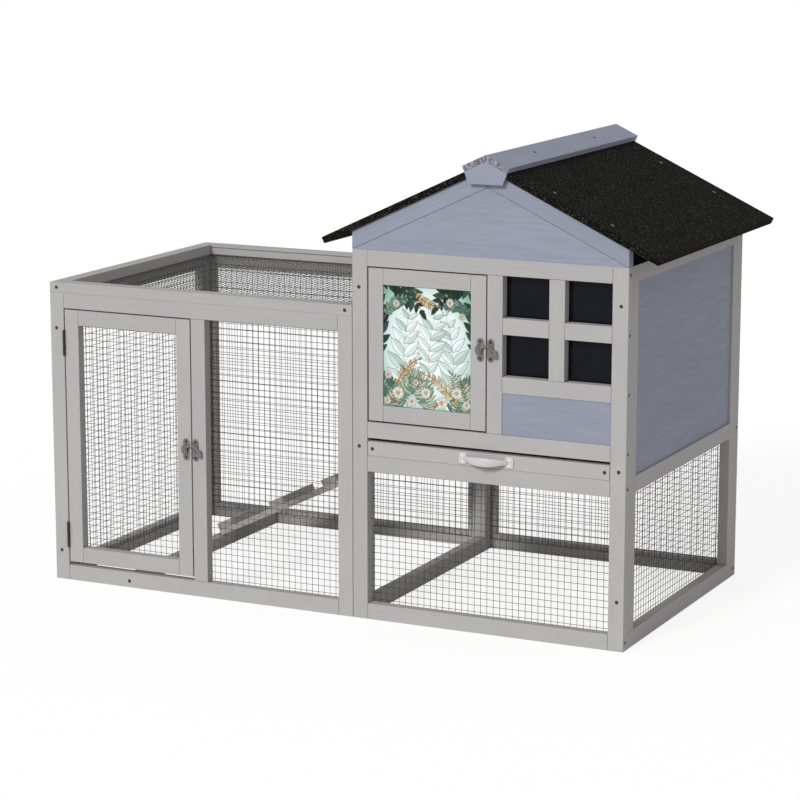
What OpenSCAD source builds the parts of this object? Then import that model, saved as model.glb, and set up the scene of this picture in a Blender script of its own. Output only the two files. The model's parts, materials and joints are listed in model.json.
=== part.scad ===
// Rabbit hutch with an attached run. Fir battens, wire mesh walls, a painted house with a felted roof.
// X runs from the run's left end to the house, Y from front to back, Z up from the ground.

/* [Overall] */
// Length of the run, along X
run_l = 657; // [560:0.5:800]
// Width of the house, along X
house_w = 542.5; // [480:0.5:640]
// Depth of the run and of the house, over their frames
depth = 610; // [540:1:700]
// Height of the run's walls
run_h = 573.4; // [520:0.2:620]
// Height of the house's walls
wall_h = 698.5; // [670:0.5:760]
// Gap between the run and the house
unit_gap = 1; // [0.2:0.1:2]

/* [Timber] */
// Face width of every batten
bat_w = 30; // [26:1:36]
// Thickness of every batten
bat_t = 20; // [16:1:24]
// Hairline gap where two battens of one frame meet
seam = 0.4; // [0.1:0.1:0.5]

/* [Run lid] */
// Height of the groove in the lid's rear batten above the batten's underside
groove_up = 12.9; // [5:0.1:13]
// Height of that groove
groove_h = 2.5; // [1:0.1:2.9]
// Depth of that groove
groove_d = 3; // [1:0.5:6]

/* [Run door] */
// Width of the doorway in the run's front
run_door_open_w = 284; // [240:1:300]
// Gap on the hinge side, which holds the two hinge leaves
hinge_gap = 2.5; // [2.3:0.1:3.5]
// Gap on the other sides of a door
door_gap = 2.5; // [1:0.1:3]
// Gap under the run door
run_door_lift = 7.5; // [2:0.5:15]

/* [House front] */
// Height of the underside of the rail that the tray slides over
tray_rail_z = 283.5; // [240:0.5:310]
// Height of the slot that the tray's front fills
tray_slot_h = 34; // [28:0.5:44]
// Width of the house's doorway
house_door_open_w = 241.5; // [200:0.5:260]
// Gap under the house door
house_door_lift = 3.5; // [1:0.5:6]
// Thickness of the panel in the house door
picture_t = 6; // [4:0.5:10]
// How far the door panel lies behind the door's face
picture_recess = 2; // [1:0.5:6]
// Thickness of the painted panel below the windows
front_panel_t = 9; // [5:0.5:12]
// How far that panel lies behind the front
front_recess = 1; // [0.5:0.5:5]
// Thickness of the window pane behind the bars
pane_t = 2; // [1.5:0.5:4]
// How far the pane laps the bars
pane_lap = 6; // [3:1:9]

/* [Side and rear walls] */
// Height of the underside of the middle rail in the side and rear walls
side_rail_z = 285.5; // [270:0.5:310]
// Thickness of the painted wall panels
wall_panel_t = 9; // [5:0.5:12]
// How far a wall panel lies behind its frame's face
wall_recess = 4; // [1:0.5:8]
// Width of the pop hole between the ramp and the house
pop_w = 160; // [140:1:190]
// Height of the pop hole
pop_h = 200; // [150:1:260]

/* [Roof] */
// Slope of the roof
roof_a = 25.1; // [18:0.1:30]
// How far the eaves reach past the side walls
eave_over = 60.8; // [30:0.2:90]
// How far the roof reaches past the front and the rear
roof_over = 5; // [3:0.5:8]
// Width of the bargeboards, square to the slope
barge_w = 30; // [24:1:38]
// Gap between a gable panel and its bargeboards
gable_gap = 0.6; // [0.3:0.1:1.5]
// Thickness of a roof board
board_t = 11; // [8:0.5:15]
// Thickness of the roofing felt
felt_t = 1.5; // [1:0.1:3]
// Half width of the ridge boards, on the level
cap_half = 46.2; // [38:0.2:60]
// Thickness of the ridge boards
cap_t = 11; // [8:0.5:15]
// How far the ridge boards reach past the front and the rear
cap_over = 12; // [10:0.5:18]
// Half width of the ridge end plates at their foot
plate_foot_half = 33.5; // [25:0.5:37]
// Height of the ridge end plates
plate_h = 41; // [34:0.5:50]

/* [Wire mesh] */
// Spacing of the wires, one wire for every three of the real half-inch mesh
net_pitch = 38.1; // [38:0.1:80]
// Thickness of the wires
wire_d = 1; // [0.8:0.1:1.5]
// Gap between the two layers of crossing wires
weld_gap = 0.05; // [0.02:0.01:0.1]
// How far the mesh laps the inner face of its frame
net_lap = 9; // [5:0.5:9.5]

/* [Tray] */
// Gap at each side of the tray's front
tray_side_gap = 1; // [0.5:0.5:2]
// Gap under the tray
tray_lift = 0.3; // [0.2:0.1:1]
// Gap over the tray's front
tray_top_gap = 6.5; // [2:0.5:8]
// Thickness of the tray's floor
tray_floor_t = 4; // [3:0.5:8]
// Thickness of the tray's side and rear battens
tray_side_t = 12; // [8:1:18]
// Height of the tray's side and rear battens
tray_side_h = 20; // [14:1:22]
// How far the runners stand out from the side walls
runner_w = 20; // [14:1:24]
// Height of the runners
runner_h = 20; // [14:1:20]
// Space between the tray and the rear mesh wall
tray_rear_gap = 5; // [3:1:20]

/* [Tray handle] */
// Distance over the two foot plates
handle_l = 109; // [90:1:130]
// Distance over the ends of the grip
grip_l = 87; // [76:1:95]
// How far the grip stands out from the tray
handle_h = 22; // [18:1:28]
// Width of a foot plate
foot_w = 16; // [12:1:20]
// Height of a foot plate
foot_h = 22; // [18:1:26]
// Thickness of a foot plate
foot_t = 2.5; // [2:0.5:4]
// Thickness of the grip
grip_t = 5; // [4:0.5:6]
// Height of the grip at its middle
grip_h = 17; // [13:1:20]
// Height of the grip where it meets the plates
grip_end_h = 9; // [6:1:11]
// Radius of the heads of the handle's screws
foot_head_r = 2.2; // [1.8:0.1:2.6]
// Distance from an end of the tray's front to its screw
tray_screw_in = 9.5; // [7:0.5:20]

/* [Ramp] */
// Distance from the run's left end to the middle of the floor bar
floor_bar_x = 167.5; // [120:0.5:220]
// Height of the floor bar
floor_bar_h = 25; // [20:1:30]
// How far the ramp's foot stands in from the bar's right face
ramp_foot_in = 3; // [1:0.5:8]
// Distance from the front to the ramp's near edge
ramp_y = 355; // [300:1:400]
// Width of the ramp
ramp_w = 135; // [110:1:150]
// Thickness of the ramp's plank
ramp_t = 12; // [9:0.5:14]
// Height of the ledge under the ramp's top end
ledge_z = 257.5; // [240:0.5:262]
// How far the ledge reaches past the ramp's near edge
ledge_out = 10; // [2:1:30]
// How far the plank reaches over the ledge
ramp_tongue = 15; // [8:1:18]
// Width of a cleat along the slope
cleat_w = 36; // [20:1:40]
// Height of a cleat
cleat_h = 14; // [6:1:16]
// Distance from one cleat to the next along the slope
cleat_pitch = 134; // [90:1:160]

/* [Hinges] */
// Length of a butt hinge
hinge_l = 51; // [40:1:60]
// Outer radius of the knuckles
knuckle_r = 2.5; // [2.2:0.1:3]
// Radius of the hinge pins
hinge_pin_r = 1.15; // [0.9:0.05:1.3]
// Thickness of a hinge leaf
leaf_t = 0.9; // [0.6:0.1:1]
// Gap between the knuckles and the front
knuckle_gap = 0.3; // [0.2:0.1:0.6]
// Height of the lower hinge above the ground
hinge_low_z = 67; // [55:1:100]
// Distance from the top of the run's wall to the top of the upper hinge
hinge_drop = 72.4; // [50:0.2:110]
// Radial running clearance in every hinge and latch
run_fit = 0.05; // [0.02:0.01:0.1]
// Radius of the pins that the house door turns on
pivot_r = 1.5; // [1.2:0.1:2]
// Distance of those pins from the door's edge and face
pivot_in = 3.5; // [3:0.1:5]
// Length of those pins
pivot_l = 30; // [20:1:40]
// Size of the eased corner beside those pins
pivot_ease = 1.2; // [1:0.1:2]

/* [Latches] */
// Width of a latch plate
latch_w = 13; // [11:0.5:15]
// Height of a latch plate
latch_h = 43; // [36:1:50]
// Thickness of a latch plate
latch_t = 1.2; // [0.8:0.1:2]
// Distance between the screws of a latch plate
latch_screw_gap = 30.5; // [26:0.5:36]
// Distance from the door's edge to the middle of its plate
latch_door_in = 10.5; // [8:0.5:14]
// Distance from the upright's edge to the middle of the keeper plate
latch_keep_in = 7.5; // [7:0.5:14]
// How far the hook's pivot lies outwards from the middle of its plate
latch_pivot_in = 2.5; // [0:0.5:3]
// Height of the run's latch above the ground
run_latch_z = 288.8; // [240:0.1:360]
// Height of the house's latch above the ground
house_latch_z = 530.8; // [480:0.1:560]
// Gap between a plate and its hook, which clears the screw heads
hook_gap = 1.2; // [1:0.1:2]
// Play of a hook along its rivet, on each side
hook_play = 0.4; // [0.2:0.1:0.6]
// Thickness of a rivet's head
rivet_head = 1.2; // [0.8:0.1:2]
// Thickness of a hook
hook_t = 2.5; // [2:0.1:3.5]
// Width of the hook's strip
hook_strip = 4; // [3:0.1:5]
// Radius of the keeper's stud
stud_r = 4; // [3:0.1:4.5]
// Gap between the stud and the hook round it
stud_gap = 0.4; // [0.3:0.1:0.8]
// Radius of the rivet that a hook turns on
rivet_r = 2; // [1.5:0.1:2.5]
// Half width of the hook's boss round that rivet
eye_r = 6.5; // [5:0.1:7]
// Height of the boss's straight part
eye_straight = 4; // [1:0.5:6]
// How far the centre of the hook's arch lies back from the stud
arch_back = 7.5; // [6.5:0.1:8.5]
// How far the centre of the arch lies below the stud
arch_drop = 8; // [7:0.1:9]
// Radius of the end of the hook's finger tab
tab_r = 4; // [3:0.1:4.5]
// How far the centre of the tab's top lies below the stud
tab_drop = 3; // [2:0.5:4]
// How far the finger tab leans outwards
tab_lean = 1; // [0:0.1:2]
// Distance from that centre to the centre of the tab's end
tab_l = 7.5; // [5:0.5:9]

/* [Screws and nails] */
// Radius of a timber screw's head
head_r = 3.6; // [3:0.1:4.5]
// How far a screw head stands out
head_h = 0.8; // [0.4:0.1:0.9]
// Radius of a timber screw's shank
shank_r = 1.8; // [1.2:0.1:2.2]
// Length of a timber screw
screw_l = 45; // [40:1:48]
// Length of a short screw, in the latches and the handle
small_screw_l = 14; // [8:1:17]
// Radius of a short screw's head
small_head_r = 3; // [2.4:0.1:3.2]
// Distance from a run post's foot to its lower screw
run_screw_z = 58.5; // [40:0.5:90]
// Distance from a run post's top to its upper screw
run_screw_drop = 70; // [40:0.5:90]
// Height of the lowest screw in the house's right post
house_screw_z = 91.5; // [60:0.5:120]
// Distance from a house post's top to its upper screw
house_screw_drop = 69.5; // [40:0.5:90]
// Distance from a post's outer edge to its screws
post_screw_in = 13.5; // [9:0.5:16]
// Length of the screws in the ridge boards
cap_screw_l = 20; // [16:1:22]
// Distance from the ridge to the screws in the ridge boards, on the level
cap_screw_u = 22.2; // [15:0.2:28]
// Distance from the front and rear walls to those screws
cap_screw_in = 160; // [80:1:220]
// Radius of a felt nail's head
nail_r = 4; // [3:0.1:5]
// Length of a felt nail
nail_l = 10; // [6:0.5:10]
// Distance from the ridge to the upper felt nails, on the level
nail_high_u = 115; // [80:1:150]
// Distance from the ridge to the lower felt nails, on the level
nail_low_u = 225.5; // [180:0.5:280]
// Distance from the roof's front edge to the nearest felt nails
nail_front_in = 39; // [25:1:60]
// Distance from the roof's rear edge to the nearest felt nails
nail_rear_in = 47; // [25:1:60]

/* [Hidden] */
fir = "#b2b0ac";
paint = "#969baf";
felt = "#1e1e1c";
zinc = "#8f9292";
dark_steel = "#3c3c3b";
bronze = "#5a4238";
mesh_grey = "#4c4d4c";
part_fn = 32;
head_fn = 12;
shank_fn = 6;
arch_fn = 96;
bow_fn = 180;
leaf_fn = 480;

// Where the house stands, the rear frames' inner face and the thickness of the mesh
hx0 = run_l + unit_gap;
hx1 = hx0 + house_w;
rear_y = depth - bat_t;
net_t = 2 * wire_d + weld_gap;
mid_x = (hx1 + eave_over - head_h) / 2;
mid_y = (depth + cap_over - max(handle_h, cap_over)) / 2;

// The run's front, from its left post to its right post
run_mull_x = bat_w + run_door_open_w;
run_door_x0 = bat_w + hinge_gap;
run_door_x1 = run_mull_x - door_gap;
run_door_z0 = bat_w + run_door_lift;
run_top_z = run_h - bat_w;
run_door_z1 = run_top_z - door_gap;

// The house's front, from its left post to its right post
slot_z = tray_rail_z + bat_w;
floor_rail_z = slot_z + tray_slot_h;
door_sill_z = floor_rail_z + bat_w;
house_top_z = wall_h - bat_w;
house_mull_x = hx0 + bat_w + house_door_open_w;
house_door_x0 = hx0 + bat_w + door_gap;
house_door_x1 = house_mull_x - door_gap;
house_door_z0 = door_sill_z + house_door_lift;
house_door_z1 = house_top_z - door_gap;
win_x0 = house_mull_x + bat_w;
win_x1 = hx1 - bat_w;
win_h = (house_top_z - door_sill_z - 2 * bat_w) / 3;
win_rail_z = door_sill_z + win_h;
win_bar_z = win_rail_z + bat_w + win_h;
win_bar_x = (win_x0 + win_x1 - bat_w) / 2;
side_sill_z = side_rail_z + bat_w;

// The roof's section, measured from the ridge
roof_t = board_t + felt_t;
half_w = house_w / 2;
ridge_x = hx0 + half_w;
barge_v = barge_w / cos(roof_a);
ridge_z = wall_h + barge_v + half_w * tan(roof_a);
eave_u = half_w + eave_over - roof_t * sin(roof_a);
board_u = eave_u - felt_t * cos(roof_a);
cap_foot_x = cap_half - cap_t * sin(roof_a);

// The ramp, from its foot on the floor bar to the ledge in the house's left wall
ramp_x = floor_bar_x + bat_t / 2 - ramp_foot_in;
ramp_a = atan((ledge_z - floor_bar_h) / (hx0 - ramp_x));
ramp_len = (hx0 - ramp_x) / cos(ramp_a);
cleats = floor((ramp_len - cleat_w) / cleat_pitch);
ledge_y = ramp_y - ledge_out;

// The tray
tray_z = slot_z + tray_lift;
tray_x0 = hx0 + bat_w + tray_side_gap;
tray_x1 = hx1 - bat_w - tray_side_gap;
tray_y1 = rear_y - tray_rear_gap;
tray_front_z1 = floor_rail_z - tray_top_gap;
tray_mid_x = (tray_x0 + tray_x1) / 2;
tray_mid_z = (tray_z + tray_front_z1) / 2;
foot_x = handle_l / 2 - foot_w / 2;

// The hinges and the latches
hinge_x = bat_w + hinge_gap / 2;
hinge_y = -knuckle_r - knuckle_gap;
hinge_zs = [hinge_low_z, run_h - hinge_drop - hinge_l];
knuckle_l = hinge_l / 3;
pivot_x = house_door_x0 + pivot_in;
hook_y = latch_t + hook_gap;
run_latch_x = run_door_x1 - latch_door_in;
house_latch_x = house_door_x1 - latch_door_in;
run_keep_x = run_mull_x + latch_keep_in;
house_keep_x = house_mull_x + latch_keep_in;
stud_reach = run_keep_x - run_latch_x + latch_pivot_in;
arch_in = norm([arch_back + stud_r + stud_gap, arch_drop]);
arch_end_x = stud_reach - arch_back + sqrt(pow(arch_in + hook_strip / 2, 2) - pow(arch_drop - tab_drop, 2));
tab_x = arch_end_x + tab_r - hook_strip / 2;

// A point of the roof's section: u runs down the underside from the ridge, n square to it
function roof_pt(u, n) = [u + n * sin(roof_a), ridge_z - u * tan(roof_a) + n * cos(roof_a)];
// The height of a layer n above the underside, at distance x from the ridge
function layer_z(x, n) = ridge_z + n / cos(roof_a) - x * tan(roof_a);
// The height of the ramp's underside at a distance along the run
function ramp_z(x) = floor_bar_h + (x - ramp_x) * tan(ramp_a);

module place() {
    translate([-mid_x, -mid_y, 0]) children();
}

module block(low, high) {
    translate(low) cube(high - low);
}

module along_y(y0, y1) {
    translate([0, y1, 0]) rotate([90, 0, 0]) linear_extrude(y1 - y0) children();
}

module post_x(x, y, z0, z1) {
    block([x, y, z0], [x + bat_w, y + bat_t, z1]);
}

module rail_x(x0, x1, y, z) {
    block([x0 + seam, y, z], [x1 - seam, y + bat_t, z + bat_w]);
}

module post_y(x, y, z0, z1) {
    block([x, y, z0], [x + bat_t, y + bat_w, z1]);
}

module rail_y(x, y0, y1, z) {
    block([x, y0 + seam, z], [x + bat_t, y1 - seam, z + bat_w]);
}

// Welded mesh of w by h: one layer of wires each way, with its corner at the origin
module wires(w, h) {
    across = max(1, round((w - wire_d) / net_pitch));
    up = max(1, round((h - wire_d) / net_pitch));
    for (i = [0 : across])
        translate([i * (w - wire_d) / across, 0, 0]) cube([wire_d, h, wire_d]);
    for (k = [0 : up])
        translate([0, k * (h - wire_d) / up, wire_d + weld_gap]) cube([w, wire_d, wire_d]);
}

module net_xz(x0, x1, z0, z1, y) {
    color(mesh_grey) place() translate([x0, y + net_t, z0]) rotate([90, 0, 0]) wires(x1 - x0, z1 - z0);
}

module net_yz(y0, y1, z0, z1, x) {
    color(mesh_grey) place() translate([x, y0, z0]) rotate([90, 0, 90]) wires(y1 - y0, z1 - z0);
}

module net_xy(x0, x1, y0, y1, z) {
    color(mesh_grey) place() translate([x0, y0, z]) wires(x1 - x0, y1 - y0);
}

// The run's battens
module run_front_frame() {
    color(fir) place() {
        post_x(0, 0, 0, run_h);
        post_x(run_l - bat_w, 0, 0, run_h);
        rail_x(bat_w, run_l - bat_w, 0, 0);
        rail_x(bat_w, run_l - bat_w, 0, run_top_z);
        post_x(run_mull_x, 0, bat_w + seam, run_top_z - seam);
    }
}

module run_left_frame() {
    color(fir) place() {
        rail_y(0, bat_t, rear_y, 0);
        post_y(0, bat_t, bat_w + seam, run_h);
        post_y(0, rear_y - bat_w, bat_w + seam, run_h);
        rail_y(0, bat_t + bat_w, rear_y - bat_w, run_top_z);
    }
}

module run_rear_frame() {
    color(fir) place() {
        post_x(0, rear_y, 0, run_h);
        post_x(run_l - bat_w, rear_y, 0, run_h);
        rail_x(bat_w, run_l - bat_w, rear_y, 0);
        rail_x(bat_w, run_l - bat_w, rear_y, run_top_z);
    }
}

module run_top_frame() {
    color(fir) place() {
        block([0, 0, run_h], [run_l, bat_w, run_h + bat_t]);
        difference() {
            block([0, depth - bat_w, run_h], [run_l, depth, run_h + bat_t]);
            block([bat_w, depth - bat_w - 1, run_h + groove_up],
                  [run_l - bat_w, depth - bat_w + groove_d, run_h + groove_up + groove_h]);
        }
        for (x = [0, run_l - bat_w])
            block([x, bat_w + seam, run_h], [x + bat_w, depth - bat_w - seam, run_h + bat_t]);
    }
}

module run_floor_bar() {
    color(fir) place()
        block([floor_bar_x - bat_t / 2, bat_t + seam, 0],
              [floor_bar_x + bat_t / 2, rear_y - net_t - seam, floor_bar_h]);
}

// The run's mesh, on the inner faces of its frames
module run_front_net() {
    net_xz(run_mull_x + bat_w - net_lap, run_l - bat_w + net_lap, bat_w - net_lap, run_top_z + net_lap, bat_t);
}

module run_left_net() {
    net_yz(bat_t + bat_w - net_lap, rear_y - bat_w + net_lap, bat_w - net_lap, run_top_z + net_lap, bat_t);
}

module run_rear_net() {
    net_xz(bat_w - net_lap, run_l - bat_w + net_lap, bat_w - net_lap, run_top_z + net_lap, rear_y - net_t);
}

module run_top_net() {
    net_xy(bat_w - net_lap, run_l - bat_w + net_lap, bat_w - net_lap, depth - bat_w + net_lap, run_h - net_t);
}

// The house's walls
module house_front_frame() {
    color(fir) place() {
        post_x(hx0, 0, 0, wall_h);
        post_x(hx1 - bat_w, 0, 0, wall_h);
        for (z = [0, tray_rail_z, floor_rail_z, house_top_z])
            rail_x(hx0 + bat_w, hx1 - bat_w, 0, z);
        post_x(house_mull_x, 0, door_sill_z + seam, house_top_z - seam);
    }
}

module window_bars() {
    color(fir) place() {
        rail_x(win_x0, win_x1, 0, win_rail_z);
        post_x(win_bar_x, 0, win_rail_z + bat_w + seam, house_top_z - seam);
        rail_x(win_x0, win_bar_x, 0, win_bar_z);
        rail_x(win_bar_x + bat_w, win_x1, 0, win_bar_z);
    }
}

module window_pane() {
    color("#22252c") place()
        block([win_x0 - pane_lap, bat_t, win_rail_z + bat_w - pane_lap],
              [win_x1 + pane_lap, bat_t + pane_t, house_top_z + pane_lap]);
}

module front_panel() {
    color(paint) place()
        block([win_x0 + seam, front_recess, door_sill_z + seam],
              [win_x1 - seam, front_recess + front_panel_t, win_rail_z - seam]);
}

module side_wall_frame(x) {
    rail_y(x, bat_t, rear_y, 0);
    post_y(x, bat_t, bat_w + seam, wall_h);
    post_y(x, rear_y - bat_w, bat_w + seam, wall_h);
    rail_y(x, bat_t + bat_w, rear_y - bat_w, house_top_z);
    rail_y(x, bat_t + bat_w, rear_y - bat_w, side_rail_z);
}

module side_wall_panel(x) {
    block([x, bat_t + bat_w + seam, side_sill_z + seam],
          [x + wall_panel_t, rear_y - bat_w - seam, house_top_z - seam]);
}

module house_right_frame() {
    color(fir) place() side_wall_frame(hx1 - bat_t);
}

module right_panel() {
    color(paint) place() side_wall_panel(hx1 - wall_recess - wall_panel_t);
}

// The ledge under the ramp's end runs from the rear post to a short hanger below the middle rail
module house_left_frame() {
    color(fir) place() {
        side_wall_frame(hx0);
        post_y(hx0, ledge_y - bat_w, ledge_z - bat_w, side_rail_z - seam);
        rail_y(hx0, ledge_y, rear_y - bat_w, ledge_z - bat_w);
    }
}

module left_panel() {
    pop_y = ramp_y + ramp_w / 2 - pop_w / 2;
    color(paint) place() difference() {
        side_wall_panel(hx0 + wall_recess);
        block([hx0, pop_y, side_sill_z], [hx0 + bat_t, pop_y + pop_w, side_sill_z + pop_h]);
    }
}

module house_rear_frame() {
    color(fir) place() {
        post_x(hx0, rear_y, 0, wall_h);
        post_x(hx1 - bat_w, rear_y, 0, wall_h);
        for (z = [0, side_rail_z, house_top_z])
            rail_x(hx0 + bat_w, hx1 - bat_w, rear_y, z);
    }
}

module rear_panel() {
    color(paint) place()
        block([hx0 + bat_w + seam, depth - wall_recess - wall_panel_t, side_sill_z + seam],
              [hx1 - bat_w - seam, depth - wall_recess, house_top_z - seam]);
}

// The mesh under the house
module house_front_net() {
    net_xz(hx0 + bat_w - net_lap, hx1 - bat_w + net_lap, bat_w - net_lap, tray_rail_z + net_lap, bat_t);
}

module house_right_net() {
    net_yz(bat_t + bat_w - net_lap, rear_y - bat_w + net_lap, bat_w - net_lap, side_rail_z + net_lap,
           hx1 - bat_t - net_t);
}

module house_rear_net() {
    net_xz(hx0 + bat_w - net_lap, hx1 - bat_w + net_lap, bat_w - net_lap, side_rail_z + net_lap,
           rear_y - net_t);
}

module tray_runners() {
    color(fir) place() for (x = [hx0 + bat_t, hx1 - bat_t - net_t - seam - runner_w])
        block([x, bat_t + net_t + seam, slot_z - runner_h],
              [x + runner_w, rear_y - net_t - seam, slot_z]);
}

// The gables and the roof
module gable(y) {
    base = half_w - gable_gap / sin(roof_a);
    color(paint) place() translate([ridge_x, 0, 0]) along_y(y, y + bat_t)
        polygon([[-base, wall_h], [base, wall_h], [0, wall_h + base * tan(roof_a)]]);
}

module bargeboards(y) {
    color(paint) place() translate([ridge_x, 0, 0]) for (side = [0, 1]) mirror([side, 0, 0])
        along_y(y, y + bat_t) polygon([
            [half_w, wall_h],
            [half_w, wall_h + barge_v],
            [seam, layer_z(seam, 0)],
            [seam, layer_z(seam, 0) - barge_v]
        ]);
}

module front_gable() { gable(0); }
module rear_gable() { gable(rear_y); }
module front_bargeboards() { bargeboards(0); }
module rear_bargeboards() { bargeboards(rear_y); }

module roof_board_shape(side) {
    mirror([side, 0, 0]) along_y(felt_t - roof_over, depth + roof_over - felt_t) polygon([
        [seam, layer_z(seam, 0)],
        roof_pt(board_u, 0),
        roof_pt(board_u, board_t),
        [seam, layer_z(seam, board_t)]
    ]);
}

module roof_board(side) {
    color("#b9a384") place() translate([ridge_x, 0, 0]) roof_board_shape(side);
}

module roof_felt(side) {
    color(felt) place() translate([ridge_x, 0, 0]) difference() {
        mirror([side, 0, 0]) along_y(-roof_over, depth + roof_over) polygon([
            [seam, layer_z(seam, 0)],
            roof_pt(eave_u, 0),
            roof_pt(eave_u, roof_t),
            [seam, layer_z(seam, roof_t)]
        ]);
        roof_board_shape(side);
    }
}

module ridge_board(side) {
    color(paint) place() translate([ridge_x, 0, 0]) mirror([side, 0, 0])
        along_y(-cap_over, depth + cap_over) polygon([
            [seam, layer_z(seam, roof_t)],
            [cap_foot_x, layer_z(cap_foot_x, roof_t)],
            [cap_half, layer_z(cap_half, roof_t + cap_t)],
            [seam, layer_z(seam, roof_t + cap_t)]
        ]);
}

module roof_board_left() { roof_board(1); }
module roof_board_right() { roof_board(0); }
module roof_felt_left() { roof_felt(1); }
module roof_felt_right() { roof_felt(0); }
module ridge_board_left() { ridge_board(1); }
module ridge_board_right() { ridge_board(0); }

module ridge_end_plates() {
    top = layer_z(0, roof_t);
    plate_t = cap_over - roof_over;
    color(paint) place() translate([ridge_x, 0, 0]) for (y = [-cap_over, depth + roof_over])
        along_y(y, y + plate_t) polygon([
            [0, top],
            [cap_foot_x, layer_z(cap_foot_x, roof_t)],
            [plate_foot_half, top - plate_h],
            [-plate_foot_half, top - plate_h],
            [-cap_foot_x, layer_z(cap_foot_x, roof_t)]
        ]);
}

// The ramp
module ramp_plank() {
    end_x = hx0 + ramp_tongue;
    color(fir) place() along_y(ramp_y, ramp_y + ramp_w) polygon([
        [ramp_x, floor_bar_h],
        [end_x, ramp_z(end_x)],
        [end_x, ramp_z(end_x) + ramp_t / cos(ramp_a)],
        [ramp_x - ramp_t * sin(ramp_a), floor_bar_h + ramp_t * cos(ramp_a)]
    ]);
}

module ramp_cleats() {
    color(fir) place() translate([ramp_x, ramp_y, floor_bar_h]) rotate([0, -ramp_a, 0])
        for (i = [0 : cleats])
            block([i * cleat_pitch, 0, ramp_t], [i * cleat_pitch + cleat_w, ramp_w, ramp_t + cleat_h]);
}

// Screws and nails: the head stands on the surface, the shank goes down into the wood
module screw(long, head, rise) {
    cylinder(r = head, h = rise, $fn = head_fn);
    translate([0, 0, -long]) cylinder(r = shank_r, h = long, $fn = shank_fn);
}

module facing_front(x, y, z) { translate([x, y, z]) rotate([90, 0, 0]) children(); }
module facing_rear(x, z) { translate([x, depth, z]) rotate([-90, 0, 0]) children(); }

module frame_screws() {
    left_x = hx0 + post_screw_in;
    right_x = hx1 - post_screw_in;
    high_z = wall_h - house_screw_drop;
    tray_screw_z = slot_z + tray_slot_h / 2;
    fronts = [
        [post_screw_in, run_h - run_screw_drop],
        [post_screw_in, run_screw_z],
        [floor_bar_x, floor_bar_h / 2],
        [bat_w / 2, run_h + bat_t / 2],
        [run_l - bat_w / 2, run_h + bat_t / 2],
        [left_x, tray_screw_z],
        [left_x, high_z],
        [right_x, house_screw_z],
        [right_x, tray_screw_z],
        [right_x, high_z]
    ];
    front_rails = [0, tray_rail_z, floor_rail_z, win_rail_z, win_bar_z, house_top_z];
    color(bronze) place() {
        for (p = fronts) {
            facing_front(p[0], 0, p[1]) screw(screw_l, head_r, head_h);
            facing_rear(p[0], p[1]) screw(screw_l, head_r, head_h);
        }
        for (z = front_rails)
            translate([hx1, bat_t / 2, z + bat_w / 2]) rotate([0, 90, 0]) screw(screw_l, head_r, head_h);
        for (z = [0, side_rail_z, house_top_z])
            translate([hx1, depth - bat_t / 2, z + bat_w / 2]) rotate([0, 90, 0])
                screw(screw_l, head_r, head_h);
        for (y = [bat_t / 2, depth - bat_t / 2], z = [0, run_top_z])
            translate([0, y, z + bat_w / 2]) rotate([0, -90, 0]) screw(screw_l, head_r, head_h);
    }
}

module on_roof(side, x, y, n) {
    translate([ridge_x, y, 0]) mirror([side, 0, 0]) translate([x, 0, layer_z(x, n)]) rotate([0, roof_a, 0])
        children();
}

module ridge_screws() {
    color(bronze) place() for (side = [0, 1], y = [cap_screw_in, depth - cap_screw_in])
        on_roof(side, cap_screw_u, y, roof_t + cap_t) screw(cap_screw_l, head_r, head_h);
}

module felt_nails() {
    ys = [nail_front_in - roof_over, depth + roof_over - nail_rear_in];
    color(zinc) place() for (side = [0, 1], x = [nail_high_u, nail_low_u], y = ys)
        on_roof(side, x, y, roof_t) {
            cylinder(r = nail_r, h = head_h, $fn = head_fn);
            translate([0, 0, -nail_l]) cylinder(r = shank_r / 2, h = nail_l, $fn = shank_fn);
        }
}

// Butt hinges of the run door: two knuckles on the post, one on the door
module knuckle(z) {
    difference() {
        translate([hinge_x, hinge_y, z]) cylinder(r = knuckle_r, h = knuckle_l - seam, $fn = part_fn);
        translate([hinge_x, hinge_y, z - 1])
            cylinder(r = hinge_pin_r + run_fit, h = knuckle_l + 2, $fn = part_fn);
    }
}

module hinge_leaf(x, z, zs) {
    block([x, 0, z], [x + leaf_t, bat_t - 1, z + hinge_l]);
    for (k = zs)
        difference() {
            block([x, hinge_y, k], [x + leaf_t, 0, k + knuckle_l - seam]);
            translate([hinge_x, hinge_y, k - 1])
                cylinder(r = knuckle_r - leaf_t / 2, h = knuckle_l + 2, $fn = part_fn);
        }
}

module hinge_post_leaves() {
    color(dark_steel) place() for (z = hinge_zs) {
        hinge_leaf(bat_w, z, [z, z + 2 * knuckle_l]);
        knuckle(z);
        knuckle(z + 2 * knuckle_l);
    }
}

module hinge_door_leaves() {
    color(dark_steel) place() for (z = hinge_zs) {
        hinge_leaf(run_door_x0 - leaf_t, z, [z + knuckle_l]);
        knuckle(z + knuckle_l);
    }
}

module hinge_pins() {
    color(dark_steel) place() for (z = hinge_zs)
        translate([hinge_x, hinge_y, z]) cylinder(r = hinge_pin_r, h = hinge_l - seam, $fn = part_fn);
}

// Pins that the house door turns on, let into the rails above and below it
module house_door_pivots() {
    color(zinc) place() for (z = [house_door_z0, house_door_z1])
        translate([pivot_x, pivot_in, z - pivot_l / 2]) cylinder(r = pivot_r, h = pivot_l, $fn = part_fn);
}

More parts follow.
